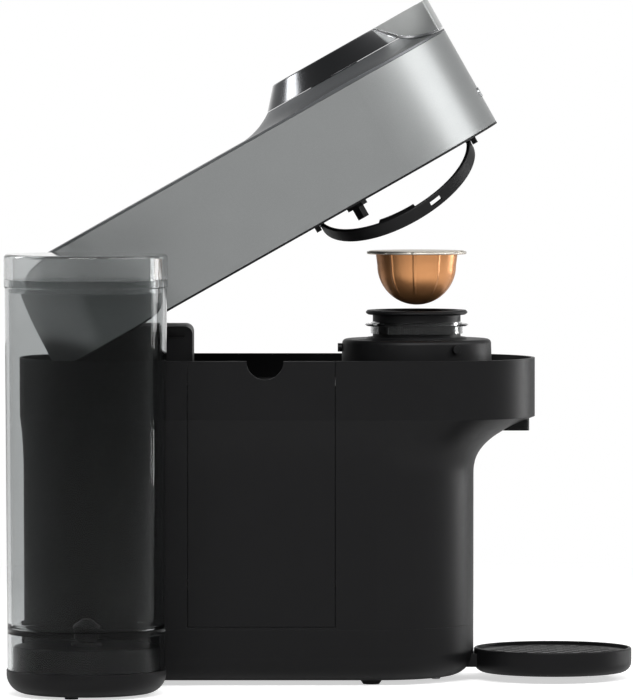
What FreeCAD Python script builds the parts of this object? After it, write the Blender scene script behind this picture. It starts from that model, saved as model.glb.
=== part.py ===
import FreeCAD, Part
import math
import os

# Pod coffee machine, in millimetres. X runs forward to the cup tray, Z up, and the brew axis is X = Y = 0
# on the counter while modelling. Head pieces are drawn with the head shut and swung open at the end.

# Clearances
RUNNING_GAP = 0.05
SEAT_GAP = 0.2
SLIDE_GAP = 0.35
PART_GAP = 0.4

# Overall sizes
RIM_Z = 219.3
HINGE_REACH = 235.0
HEAD_HEIGHT = 73.7
HEAD_OPEN_DEG = 29.5
NOSE_REACH = 9.7
HEAD_TAIL = 28.5
BODY_TAIL = 12.9

# Pod, as it sits in its holder
POD_DOME_RADIUS = 27.8
POD_DOME_DEPTH = 34.5
POD_TAPER = 1.0
POD_RIM_WIDTH = 6.2
POD_RIM_HEIGHT = 2.0
POD_RIB_COUNT = 10
POD_RIB_HEIGHT = 0.4
POD_RIB_DEG = 3.0
POD_RIB_LOW_DEG = 42.0
POD_VIEW_DEG = 266.0
POD_FOIL = 0.3
POD_FOIL_EDGE = 2.0
POD_RAISED = 37.7

# Spinning pod holder and its drive
HOLDER_WALL = 1.3
HOLDER_LIP = 0.5
HOLDER_RIM_HEIGHT = 3.0
HOLDER_NECK = 19.5
HOLDER_RING_DROP = 10.3
HOLDER_RING_LIP = 0.7
CUP_CONE_HEIGHT = 14.0
SPINDLE_RADIUS = 6.0
SPINDLE_FLANGE = 5.0
SPINDLE_RISE = 4.3
BEARING_RADIUS = 13.0
BEARING_HEIGHT = 8.0
MOTOR_RADIUS = 29.0
MOTOR_HEIGHT = 62.0
MOTOR_DROP = 10.0
MOTOR_FINS = 10

# Brew base and its bayonet pins
BASE_BORE_GAP = 1.6
BASE_COLLAR = 2.0
BASE_WALL = 3.0
BASE_EDGE = 3.0
PIN_COUNT = 3
PIN_RADIUS = 2.9
PIN_REACH = 3.0
PIN_DROP = 6.0
FINGER_THICKNESS = 5.0
FINGER_GAP = 3.3
FINGER_SLOT_GAP = 1.2
FINGER_SWING_ROOM = 2.8
FINGER_FLOOR_GAP = 2.5
FINGER_DEG = 223.0
FINGER_HALF_WIDTH = 3.2
FINGER_BAR_HALF_WIDTH = 8.0
FINGER_BAR_HEIGHT = 4.5
FINGER_TIP = 8.0

# Lock ring, carrier and lever
LOCK_TURN_DEG = 40.0
RING_TILT_DEG = 24.5
RING_GAP = 2.6
RING_WALL = 2.2
RING_HEIGHT = 9.4
RING_PIN_RADIUS = 1.5
RING_SLOT_DEG = 288.0
RING_SLOT_HALF_WIDTH = 4.5
RING_SLOT_HEIGHT = 3.6
LUG_BASE_GAP = 1.4
LUG_HALF_DEG = 14.0
LUG_HEIGHT = 5.0
ARM_GAP = 0.8
ARM_THICKNESS = 3.5
ARM_HALF_WIDTH = 6.0
CARRIER_THICKNESS = 3.0
CARRIER_GAP = 4.4
HUB_RADIUS = 18.0
HUB_BORE = 13.0
BUSH_WALL = 3.5
DISC_RADIUS = 51.7
DISC_TOP_RADIUS = 39.5
DISC_HEIGHT = 14.0
DISC_RIM = 3.0
TRIM_THICKNESS = 1.3
HANDLE_NECK = 12.0
HANDLE_TAIL = 23.0
HANDLE_NECK_REACH = 46.0
HANDLE_TAIL_REACH = 76.0

# Injector over the pod
INJECTOR_LIP = 0.5
INJECTOR_THICKNESS = 4.0
INJECTOR_SHAFT = 6.0
SEAL_WIDTH = 2.4
SEAL_HEIGHT = 2.2
SEAL_PROUD = 0.2
SEAL_EDGE = 3.0

# Head sleeve, cover and belly
SLEEVE_WALL = 2.6
SLEEVE_GAP = 5.4
COVER_THICKNESS = 1.5
BELLY_THICKNESS = 1.2
BELLY_UPSTAND = 8.0
BELLY_LIP = 2.0
BREW_OPENING_GAP = 0.6
FLARE_RUN = 28.3
FLARE_HEIGHT = 9.1
FLARE_BELLY_RUN = 14.6
FLARE_BELLY_RISE = 2.2
BUTTON_HALF_WIDTH = 12.0
BUTTON_HEIGHT = 7.0
BUTTON_RISE = 24.1
BUTTON_PROUD = 0.7
BUTTON_DEPTH = 5.0
BUTTON_TRAVEL = 1.5

# Lower body
WALL = 2.6
BAND_HEIGHT = 39.8
BODY_FLARE_HEIGHT = 40.0
BODY_FLARE_SHAPE = 2.6
COLUMN_INSET = 4.0
COLUMN_SETBACK = 41.7
SEAM_Z = 38.4
PAN_LOW_Z = 3.0
PAN_ROUNDING = 17.0
DECK_DEPTH = 16.3
DECK_THICKNESS = 3.0
LEDGE_WIDTH = 3.0
FOOT_RADIUS = 7.5
FOOT_TAPER = 2.0
FOOT_INSET = 70.0
GLAND_RADIUS = 7.5
GLAND_NECK = 5.5
GLAND_BORE = 3.5
GLAND_PROUD = 2.5
GLAND_Z = 29.0

# Used-pod container
BIN_MARGIN = 4.7
BIN_HINGE_ROOM = 80.0
BIN_SILL = 1.6
BIN_WALL = 2.0
BIN_SIDE_GAP = 3.0
BIN_BACK_ROOM = 14.4
BIN_HEADROOM = 6.0
BIN_CORNER = 8.0
NOTCH_RADIUS = 12.4
NOTCH_OFFSET = 2.4
CHUTE_SIDE = 6.0
CHUTE_CORNER = 12.0
CHUTE_REAR_EDGE = 9.0
CHUTE_FRONT_EDGE = 10.0

# Hinge of the head
HINGE_RISE = 30.7
HINGE_PIN_RADIUS = 4.0
HINGE_BUSH_WALL = 1.95
HINGE_BUSH_LENGTH = 14.0
HINGE_BARREL_WALL = 4.0
PEDESTAL_HALF_WIDTH = 34.0
PEDESTAL_DROP = 8.5
PEDESTAL_FRONT_ROOM = 3.0
PEDESTAL_FOOT = 20.0
PEDESTAL_ROUNDING = 5.5
PEDESTAL_WALL = 3.0
KNUCKLE_THICKNESS = 6.0
KNUCKLE_FOOT = 20.0
HINGE_SLOT_ROOM = 5.0

# Coffee outlet and duct
OUTLET_LENGTH = 18.7
OUTLET_NOSE_GAP = 4.0
OUTLET_HALF_WIDTH = 11.0
OUTLET_DROP = 9.7
OUTLET_CORNER = 4.0
OUTLET_BORE = 4.0
DUCT_HALF_WIDTH = 7.0
DUCT_HEIGHT = 8.0
DUCT_WALL = 2.0

# Water tank, its base and lid
TANK_RADIUS = 54.5
TANK_BODY_GAP = 2.9
TANK_HINGE_OFFSET = 14.0
TANK_FLANGE = 0.7
TANK_DRAFT = 1.5
TANK_WALL = 2.4
TANK_FOOT_Z = 17.6
TANK_FLOOR_Z = 41.0
TANK_FLOOR = 3.0
TANK_FLOOR_ROUND = 4.0
TANK_RIM_Z = 276.0
TANK_RIM_HEIGHT = 5.5
LID_HEIGHT = 16.4
LID_PLUG = 9.0
LID_EDGE = 2.5
VALVE_RADIUS = 9.0
VALVE_STEM_INSET = 2.0
VALVE_HEIGHT = 6.5
SPIGOT_RADIUS = 5.0
SPIGOT_BORE = 2.0
SPIGOT_HEIGHT = 6.0
TANK_BASE_INSET = 1.5
TANK_BASE_ROUNDING = 13.0
TANK_BASE_RECESS = 28.0
TANK_BASE_LOW_Z = 1.5
TANK_BOSS_GAP = 1.4
TANK_BOSS_HEIGHT = 15.4
TANK_FOOT_RADIUS = 4.5
SWIVEL_OFFSET = 10.0
SWIVEL_POST_RADIUS = 10.0
SWIVEL_DEG = 90.0
SWIVEL_ARM_Z = 7.5
SWIVEL_ARM_HEIGHT = 7.0
SWIVEL_ARM_WIDTH = 30.0

# Cup tray and grid
TRAY_RADIUS = 53.7
TRAY_LOW_Z = 5.0
TRAY_RIM_Z = 21.6
TRAY_WALL = 2.2
TRAY_ROUNDING = 7.0
TRAY_LEDGE = 2.0
GRID_THICKNESS = 2.0
GRID_DROP = 2.2
GRID_PITCH = 10.2
GRID_HOLE = 3.3
GRID_EDGE = 3.0
TONGUE_HALF_WIDTH = 14.0
TONGUE_Z = 9.0
TONGUE_HEIGHT = 9.0
TONGUE_REACH = 14.0
SOCKET_WALL = 3.0

# Pieces inside the body
INNER_FLOOR_GAP = 6.0
PUMP_RADIUS = 9.0
PUMP_YOKE = 17.0
PUMP_YOKE_LENGTH = 36.0
PUMP_LENGTH = 74.0
PUMP_OFFSET = 6.0
HOSE_RADIUS = 2.8
HOSE_BEND = 3.2
HOSE_WALL_GAP = 4.0
HEATER_LENGTH = 62.0
HEATER_HALF_WIDTH = 24.0
HEATER_HEIGHT = 34.0
BOARD_LENGTH = 66.0
BOARD_HEIGHT = 70.0
BOARD_THICKNESS = 1.6
BOARD_ROOM = 22.0
METER_RADIUS = 16.0
METER_HEIGHT = 14.0

# Radii worked out from the pod outward to the side walls
POD_RIM_RADIUS = POD_DOME_RADIUS + POD_RIM_WIDTH
POD_BALL_RADIUS = POD_DOME_RADIUS - POD_TAPER
CUP_BORE = POD_DOME_RADIUS + POD_RIB_HEIGHT + PART_GAP
CUP_BALL = POD_BALL_RADIUS + POD_RIB_HEIGHT + PART_GAP
CUP_RADIUS = CUP_BORE + HOLDER_WALL
HOLDER_RIM_RADIUS = POD_RIM_RADIUS + HOLDER_LIP
HOLDER_RING_RADIUS = HOLDER_RIM_RADIUS + HOLDER_RING_LIP
BASE_BORE = CUP_RADIUS + BASE_BORE_GAP
FINGER_INNER = HOLDER_RING_RADIUS + FINGER_GAP
FINGER_OUTER = FINGER_INNER + FINGER_THICKNESS
BASE_RADIUS = FINGER_OUTER + FINGER_SLOT_GAP + BASE_WALL + BASE_EDGE
PIN_TIP = BASE_RADIUS + PIN_REACH
LUG_INNER_RADIUS = BASE_RADIUS + LUG_BASE_GAP
RING_INNER = PIN_TIP + RING_GAP
RING_RADIUS = RING_INNER + RING_WALL
ARM_INNER = RING_RADIUS + ARM_GAP
CARRIER_RADIUS = ARM_INNER + ARM_THICKNESS
BREW_OPENING_RADIUS = CARRIER_RADIUS + BREW_OPENING_GAP
BODY_HALF_WIDTH = CARRIER_RADIUS + SLEEVE_GAP + SLEEVE_WALL
COLUMN_HALF_WIDTH = BODY_HALF_WIDTH - COLUMN_INSET
FLARE_FOOT_RADIUS = DISC_RADIUS + FLARE_RUN
INJECTOR_RADIUS = POD_RIM_RADIUS - INJECTOR_LIP

# Places along X, from the nose of the body back to its tail
BODY_FRONT = NOSE_REACH + BODY_HALF_WIDTH
COLUMN_FRONT = BODY_FRONT - COLUMN_SETBACK
BIN_OPENING_FRONT = -BASE_RADIUS - BIN_MARGIN
BIN_OPENING_REAR = BIN_HINGE_ROOM - HINGE_REACH
PEDESTAL_FRONT = BIN_OPENING_REAR + PEDESTAL_FRONT_ROOM
HINGE_X = -HINGE_REACH
HEAD_REAR = HINGE_X - HEAD_TAIL
BODY_REAR = HEAD_REAR - BODY_TAIL
COLUMN_REAR = BODY_REAR + COLUMN_INSET
NOTCH_X = (BIN_OPENING_REAR + BIN_OPENING_FRONT) / 2 + NOTCH_OFFSET
TANK_X = HINGE_X + TANK_HINGE_OFFSET
SWIVEL_X = HINGE_X + SWIVEL_OFFSET
TRAY_X = COLUMN_FRONT + SLIDE_GAP + TRAY_RADIUS
PUMP_X = (COLUMN_REAR + BIN_OPENING_REAR) / 2 + PUMP_OFFSET
FRONT_BAY_X = (BIN_OPENING_FRONT + COLUMN_FRONT) / 2

# Places across
TANK_Y = -(BODY_HALF_WIDTH + TANK_BODY_GAP + TANK_RADIUS)
HOSE_Y = COLUMN_HALF_WIDTH - WALL - HOSE_RADIUS - HOSE_WALL_GAP
BIN_BACK_Y = COLUMN_HALF_WIDTH - WALL - BIN_BACK_ROOM
BOARD_Y = COLUMN_HALF_WIDTH - WALL - BOARD_ROOM
PUMP_Y = BOARD_Y - PUMP_YOKE - HOSE_WALL_GAP

# Heights, from the rim of the body down and up
DECK_TOP_Z = RIM_Z - DECK_DEPTH
DECK_LOW_Z = DECK_TOP_Z - DECK_THICKNESS
BAND_LOW_Z = RIM_Z - BAND_HEIGHT
FLARE_LOW_Z = BAND_LOW_Z - BODY_FLARE_HEIGHT
BIN_TOP_Z = DECK_LOW_Z - BIN_HEADROOM
HINGE_Z = RIM_Z + HINGE_RISE
PEDESTAL_TOP_Z = HINGE_Z - PEDESTAL_DROP
HINGE_BUSH_RADIUS = HINGE_PIN_RADIUS + RUNNING_GAP + HINGE_BUSH_WALL
HINGE_BARREL_RADIUS = HINGE_BUSH_RADIUS + HINGE_BARREL_WALL
CUP_LOW_Z = DECK_TOP_Z + BEARING_HEIGHT + SPINDLE_RISE
POD_SEAT_Z = CUP_LOW_Z + HOLDER_WALL + PART_GAP + POD_RIB_HEIGHT + POD_DOME_DEPTH
POD_BALL_Z = POD_SEAT_Z - POD_DOME_DEPTH + POD_BALL_RADIUS
POD_RIM_TOP_Z = POD_SEAT_Z + POD_RIM_HEIGHT
POD_TOP_Z = POD_RIM_TOP_Z + POD_FOIL
HOLDER_TOP_Z = POD_SEAT_Z - PART_GAP
HOLDER_RING_Z = HOLDER_TOP_Z - HOLDER_RING_DROP
BASE_TOP_Z = HOLDER_TOP_Z - HOLDER_NECK
PIN_Z = BASE_TOP_Z - PIN_DROP
RING_TOP_Z = PIN_Z - PIN_RADIUS - PART_GAP
RING_Z = RING_TOP_Z - RING_HEIGHT / 2
FINGER_LOW_Z = DECK_TOP_Z + BASE_WALL + FINGER_FLOOR_GAP
INJECTOR_LOW_Z = POD_TOP_Z + PART_GAP
CARRIER_Z = INJECTOR_LOW_Z + INJECTOR_THICKNESS + CARRIER_GAP
HEAD_LOW_Z = RIM_Z + SEAT_GAP
HEAD_TOP_Z = HEAD_LOW_Z + HEAD_HEIGHT
SLEEVE_LOW_Z = HEAD_LOW_Z + BELLY_THICKNESS + SEAT_GAP
SLEEVE_TOP_Z = HEAD_TOP_Z - COVER_THICKNESS - SEAT_GAP
COVER_LOW_Z = HEAD_TOP_Z - COVER_THICKNESS
FLARE_TOP_Z = HEAD_TOP_Z + FLARE_HEIGHT
DISC_LOW_Z = FLARE_TOP_Z + PART_GAP
DISC_TOP_Z = DISC_LOW_Z + DISC_HEIGHT
BUTTON_Z = HEAD_LOW_Z + BUTTON_RISE
GRID_TOP_Z = TRAY_RIM_Z - GRID_DROP
TANK_BOSS_Z = TANK_FOOT_Z + TANK_BOSS_HEIGHT
TANK_TOP_RADIUS = TANK_RADIUS - TANK_FLANGE
TANK_LOW_RADIUS = TANK_TOP_RADIUS - TANK_DRAFT
TANK_BASE_RADIUS = TANK_RADIUS - TANK_BASE_INSET
TANK_BOSS_RADIUS = TANK_LOW_RADIUS - TANK_WALL - TANK_BOSS_GAP
INNER_FLOOR_Z = SEAM_Z + INNER_FLOOR_GAP


def vec(x, y, z):
    return FreeCAD.Vector(x, y, z)


def stadium(x_rear, x_front, half_width, z):
    """Closed wire of two straight sides and two half rounds."""
    rear = x_rear + half_width
    front = x_front - half_width
    near = Part.LineSegment(vec(rear, -half_width, z), vec(front, -half_width, z))
    nose = Part.Arc(vec(front, -half_width, z), vec(x_front, 0, z), vec(front, half_width, z))
    far = Part.LineSegment(vec(front, half_width, z), vec(rear, half_width, z))
    tail = Part.Arc(vec(rear, half_width, z), vec(x_rear, 0, z), vec(rear, -half_width, z))
    return Part.Wire([near.toShape(), nose.toShape(), far.toShape(), tail.toShape()])


def slab(x_rear, x_front, half_width, z_low, z_high):
    """Upright stadium-shaped solid."""
    return Part.Face(stadium(x_rear, x_front, half_width, z_low)).extrude(vec(0, 0, z_high - z_low))


def body_slab(inset, z_low, z_high):
    """Stadium of the wide upper body, drawn in by an inset."""
    return slab(BODY_REAR + inset, BODY_FRONT - inset, BODY_HALF_WIDTH - inset, z_low, z_high)


def column_slab(inset, z_low, z_high):
    """Stadium of the narrower column, drawn in by an inset."""
    return slab(COLUMN_REAR + inset, COLUMN_FRONT - inset, COLUMN_HALF_WIDTH - inset, z_low, z_high)


def head_slab(inset, z_low, z_high):
    """Stadium of the head, drawn in by an inset."""
    return slab(HEAD_REAR + inset, BODY_FRONT - inset, BODY_HALF_WIDTH - inset, z_low, z_high)


def outline(points, place):
    """Face from corner points. A pair of points makes an arc through the first one to the second."""
    corners = [p[1] if isinstance(p[0], tuple) else p for p in points]
    edges = []
    for index, item in enumerate(points):
        start = corners[index - 1]
        if isinstance(item[0], tuple):
            edges.append(Part.Arc(place(*start), place(*item[0]), place(*item[1])).toShape())
        else:
            edges.append(Part.LineSegment(place(*start), place(*item)).toShape())
    return Part.Face(Part.Wire(edges))


def turned(points, x=0.0, y=0.0, sweep=360.0):
    """Solid turned about the upright axis at x, y from an outline of radius and height."""
    face = outline(points, lambda r, z: vec(r, 0, z))
    solid = face.revolve(vec(0, 0, 0), vec(0, 0, 1), sweep)
    solid.translate(vec(x, y, 0))
    return solid


def prism_y(points, y_low, y_high):
    """Side profile in X and Z, carried across in Y."""
    return outline(points, lambda x, z: vec(x, y_low, z)).extrude(vec(0, y_high - y_low, 0))


def prism_z(points, z_low, z_high):
    """Plan outline in X and Y, carried upward."""
    return outline(points, lambda x, y: vec(x, y, z_low)).extrude(vec(0, 0, z_high - z_low))


def drum(x, y, z_low, z_high, radius):
    return Part.makeCylinder(radius, z_high - z_low, vec(x, y, z_low))


def rod(start, end, radius):
    run = end.sub(start)
    return Part.makeCylinder(radius, run.Length, start, run)


def block(x_low, x_high, y_low, y_high, z_low, z_high):
    return Part.makeBox(x_high - x_low, y_high - y_low, z_high - z_low, vec(x_low, y_low, z_low))


def upright_edges(solid):
    """Straight vertical edges of a solid."""
    found = []
    for edge in solid.Edges:
        box = edge.BoundBox
        if box.ZLength > 0.5 and box.XLength + box.YLength < 1e-6:
            found.append(edge)
    return found


def rounded_block(x_low, x_high, y_low, y_high, z_low, z_high, radius):
    solid = block(x_low, x_high, y_low, y_high, z_low, z_high)
    return solid.makeFillet(radius, upright_edges(solid))


def edges_at_height(solid, z):
    """Edges that lie wholly at one height."""
    return [e for e in solid.Edges if abs(e.BoundBox.ZMin - z) < 1e-4 and abs(e.BoundBox.ZMax - z) < 1e-4]


def joined(first, *others):
    """One clean solid from touching or overlapping solids."""
    return first.fuse(list(others)).removeSplitter()


def around(shape, count, start_deg=0.0):
    """Copies of a shape spread evenly about the brew axis."""
    copies = []
    for index in range(count):
        copy = shape.copy()
        copy.rotate(vec(0, 0, 0), vec(0, 0, 1), start_deg + index * 360.0 / count)
        copies.append(copy)
    return copies


def on_circle(radius, deg):
    """Point of a circle by its angle in degrees."""
    return radius * math.cos(math.radians(deg)), radius * math.sin(math.radians(deg))


def bent_tube(points, radius, bend):
    """Tube along straight runs joined by tangent arcs of one bend radius."""
    edges = []
    start = points[0]
    for before, corner, after in zip(points, points[1:], points[2:]):
        into = corner.sub(before).normalize()
        out = after.sub(corner).normalize()
        half = into.getAngle(out) / 2
        reach = bend * math.tan(half)
        arc_in = corner.sub(into * reach)
        arc_out = corner.add(out * reach)
        inward = out.sub(into).normalize()
        middle = corner.add(inward * (bend / math.cos(half) - bend))
        edges.append(Part.LineSegment(start, arc_in).toShape())
        edges.append(Part.Arc(arc_in, middle, arc_out).toShape())
        start = arc_out
    edges.append(Part.LineSegment(start, points[-1]).toShape())
    path = Part.Wire(edges)
    ring = Part.Wire(Part.Circle(points[0], points[1].sub(points[0]), radius).toShape())
    return path.makePipeShell([ring], True, False)


def lower_form(inset):
    """Column, concave flare and wide band of the body, drawn in by an inset."""
    column = column_slab(inset, SEAM_Z, FLARE_LOW_Z + inset)
    sections = []
    for step in (0.0, 0.2, 0.4, 0.6, 0.8, 1.0):
        spread = step ** BODY_FLARE_SHAPE
        sections.append(stadium(
            COLUMN_REAR + (BODY_REAR - COLUMN_REAR) * spread + inset,
            COLUMN_FRONT + (BODY_FRONT - COLUMN_FRONT) * spread - inset,
            COLUMN_HALF_WIDTH + (BODY_HALF_WIDTH - COLUMN_HALF_WIDTH) * spread - inset,
            FLARE_LOW_Z + (BAND_LOW_Z - FLARE_LOW_Z) * step + inset))
    flare = Part.makeLoft(sections, True, False)
    band = body_slab(inset, BAND_LOW_Z + inset, RIM_Z)
    return joined(column, flare, band)


def main_housing(outer, inner):
    """Upper body shell with a ledge for the deck and the side opening for the used-pod container."""
    ledge = body_slab(WALL, DECK_LOW_Z - LEDGE_WIDTH, DECK_LOW_Z)
    ledge = ledge.cut(body_slab(WALL + LEDGE_WIDTH, DECK_LOW_Z - LEDGE_WIDTH, DECK_LOW_Z))
    shell = joined(outer.cut(inner), ledge)
    return shell.cut(bin_window(0.0, RIM_Z + 1))


def bin_window(gap, z_high):
    """Block through the near wall that holds the container's panel, less a gap round it."""
    return block(BIN_OPENING_REAR + gap, BIN_OPENING_FRONT - gap, -2 * BODY_HALF_WIDTH, -COLUMN_HALF_WIDTH / 2,
                 SEAM_Z + BIN_SILL + gap, z_high)


def base_pan():
    """Rounded lower pan with the tray socket, the swivel post and the slot that the tank's arm sweeps."""
    floor_z = PAN_LOW_Z + WALL
    outer = column_slab(0.0, PAN_LOW_Z, SEAM_Z)
    outer = outer.makeFillet(PAN_ROUNDING, edges_at_height(outer, PAN_LOW_Z))
    inner = column_slab(WALL, floor_z, SEAM_Z)
    inner = inner.makeFillet(PAN_ROUNDING - WALL, edges_at_height(inner, floor_z))
    post = drum(SWIVEL_X, 0, PAN_LOW_Z, SWIVEL_ARM_Z + SWIVEL_ARM_HEIGHT + PART_GAP, SWIVEL_POST_RADIUS)
    back = COLUMN_FRONT - TONGUE_REACH
    side = TONGUE_HALF_WIDTH + SOCKET_WALL
    house = block(back - SOCKET_WALL, COLUMN_FRONT, -side, side, PAN_LOW_Z, TONGUE_Z + TONGUE_HEIGHT + SOCKET_WALL)
    pan = joined(outer.cut(inner), post, house.common(outer))
    socket = block(back, COLUMN_FRONT + TONGUE_REACH, -TONGUE_HALF_WIDTH - SLIDE_GAP, TONGUE_HALF_WIDTH + SLIDE_GAP,
                   TONGUE_Z - SLIDE_GAP, TONGUE_Z + TONGUE_HEIGHT + SLIDE_GAP)
    neck = rod(vec(COLUMN_REAR, 0, GLAND_Z), vec(COLUMN_REAR + TONGUE_REACH, 0, GLAND_Z), GLAND_NECK)
    return pan.cut([socket, arm_sweep(), neck, cord_gland()])


def arm_sweep():
    """Sector that the swivel arm passes through in the wall of the pan."""
    low = SWIVEL_ARM_Z - PART_GAP
    high = SWIVEL_ARM_Z + SWIVEL_ARM_HEIGHT + PART_GAP
    near = SWIVEL_X - COLUMN_REAR - PAN_ROUNDING
    far = COLUMN_HALF_WIDTH + PAN_ROUNDING
    margin = math.degrees(math.asin((SWIVEL_ARM_WIDTH / 2 + PART_GAP) / near))
    sweep = turned([(near, low), (far, low), (far, high), (near, high)], sweep=SWIVEL_DEG + 2 * margin)
    sweep.rotate(vec(0, 0, 0), vec(0, 0, 1), 270.0 - SWIVEL_DEG - margin)
    sweep.translate(vec(SWIVEL_X, 0, 0))
    return sweep


def rubber_feet():
    """Four tapered feet under the pan."""
    across = COLUMN_HALF_WIDTH - PAN_ROUNDING - FOOT_RADIUS
    feet = []
    for x in (COLUMN_FRONT - FOOT_INSET, COLUMN_REAR + FOOT_INSET):
        for y in (-across, across):
            feet.append(Part.makeCone(FOOT_RADIUS - FOOT_TAPER, FOOT_RADIUS, PAN_LOW_Z, vec(x, y, 0)))
    return Part.makeCompound(feet)


def cord_gland():
    """Bare cable inlet at the back of the pan: a flange outside, a neck through the wall and a nut inside."""
    profile = [
        (GLAND_BORE, -GLAND_PROUD), (GLAND_RADIUS, -GLAND_PROUD), (GLAND_RADIUS, 0), (GLAND_NECK, 0),
        (GLAND_NECK, WALL), (GLAND_RADIUS, WALL), (GLAND_RADIUS, WALL + 4), (GLAND_BORE, WALL + 4)]
    gland = turned(profile)
    gland.rotate(vec(0, 0, 0), vec(0, 1, 0), 90)
    gland.translate(vec(COLUMN_REAR, 0, GLAND_Z))
    return gland


def deck_plate():
    """Recessed top deck with the pod chute and the drive opening."""
    deck = body_slab(WALL + SLIDE_GAP, DECK_LOW_Z, DECK_TOP_Z)
    side = POD_RIM_RADIUS + CHUTE_SIDE
    chute = rounded_block(BIN_OPENING_REAR + CHUTE_REAR_EDGE, -BASE_RADIUS - CHUTE_FRONT_EDGE, -side, side,
                          DECK_LOW_Z - 1, DECK_TOP_Z + 1, CHUTE_CORNER)
    return deck.cut([chute, drum(0, 0, DECK_LOW_Z - 1, DECK_TOP_Z + 1, BEARING_RADIUS + BASE_WALL)])


def used_pod_bin(outer, inner):
    """Side panel of the body with the open-topped bin behind it."""
    panel = outer.cut(inner).common(bin_window(SLIDE_GAP, RIM_Z))
    x_low = BIN_OPENING_REAR + BIN_SIDE_GAP
    x_high = BIN_OPENING_FRONT - BIN_SIDE_GAP
    z_low = SEAM_Z + BIN_SILL + BIN_WALL
    front = -COLUMN_HALF_WIDTH + WALL
    tub = rounded_block(x_low, x_high, front - WALL / 2, BIN_BACK_Y, z_low, BIN_TOP_Z, BIN_CORNER)
    hollow = rounded_block(x_low + BIN_WALL, x_high - BIN_WALL, front, BIN_BACK_Y - BIN_WALL,
                           z_low + BIN_WALL, BIN_TOP_Z + 1, BIN_CORNER - BIN_WALL)
    notch = rod(vec(NOTCH_X, -2 * BODY_HALF_WIDTH, RIM_Z), vec(NOTCH_X, front, RIM_Z), NOTCH_RADIUS)
    return joined(panel, tub).cut([hollow, notch])


def hinge_pedestal():
    """Hollow moulded block on the deck that carries the hinge barrel of the head."""
    foot = HINGE_X + PEDESTAL_FOOT
    lean = HINGE_BARREL_RADIUS * math.sin(math.radians(45))
    side = prism_y([
        (PEDESTAL_FRONT, DECK_TOP_Z), (PEDESTAL_FRONT, PEDESTAL_TOP_Z),
        (HINGE_X + HINGE_BARREL_RADIUS, PEDESTAL_TOP_Z), (HINGE_X, HINGE_Z),
        (HINGE_X - lean, HINGE_Z - lean), (foot, DECK_TOP_Z)], -PEDESTAL_HALF_WIDTH, PEDESTAL_HALF_WIDTH)
    crown = [e for e in side.Edges
             if e.BoundBox.XMin > PEDESTAL_FRONT - 1e-4 and e.BoundBox.ZMin > PEDESTAL_TOP_Z - 1e-4]
    side = side.makeFillet(PEDESTAL_ROUNDING, crown)
    hollow_top = PEDESTAL_TOP_Z - PEDESTAL_ROUNDING - PEDESTAL_WALL
    hollow = block(foot + PEDESTAL_WALL, PEDESTAL_FRONT - PEDESTAL_WALL,
                   PEDESTAL_WALL - PEDESTAL_HALF_WIDTH, PEDESTAL_HALF_WIDTH - PEDESTAL_WALL, DECK_TOP_Z, hollow_top)
    barrel = rod(vec(HINGE_X, -PEDESTAL_HALF_WIDTH, HINGE_Z), vec(HINGE_X, PEDESTAL_HALF_WIDTH, HINGE_Z),
                 HINGE_BARREL_RADIUS)
    bore = rod(vec(HINGE_X, -PEDESTAL_HALF_WIDTH, HINGE_Z), vec(HINGE_X, PEDESTAL_HALF_WIDTH, HINGE_Z),
               HINGE_BUSH_RADIUS)
    groove_z = PEDESTAL_TOP_Z - PEDESTAL_ROUNDING
    groove_x = PEDESTAL_FRONT - PEDESTAL_ROUNDING
    depth = PEDESTAL_WALL / 2
    grooves = [block(groove_x - 17, groove_x, y - depth, y + depth, groove_z - 2, groove_z)
               for y in (-PEDESTAL_HALF_WIDTH, PEDESTAL_HALF_WIDTH)]
    return joined(side.cut(hollow), barrel).cut([bore] + grooves)


def hinge_bushes():
    """Two plain bushes pressed into the ends of the barrel."""
    bushes = []
    for side in (-1, 1):
        outer = vec(HINGE_X, side * PEDESTAL_HALF_WIDTH, HINGE_Z)
        inner = vec(HINGE_X, side * (PEDESTAL_HALF_WIDTH - HINGE_BUSH_LENGTH), HINGE_Z)
        bushes.append(rod(outer, inner, HINGE_BUSH_RADIUS).cut(rod(outer, inner, HINGE_PIN_RADIUS + RUNNING_GAP)))
    return Part.makeCompound(bushes)


def hinge_pin():
    reach = PEDESTAL_HALF_WIDTH + PART_GAP + KNUCKLE_THICKNESS + 1
    return rod(vec(HINGE_X, -reach, HINGE_Z), vec(HINGE_X, reach, HINGE_Z), HINGE_PIN_RADIUS)


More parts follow.
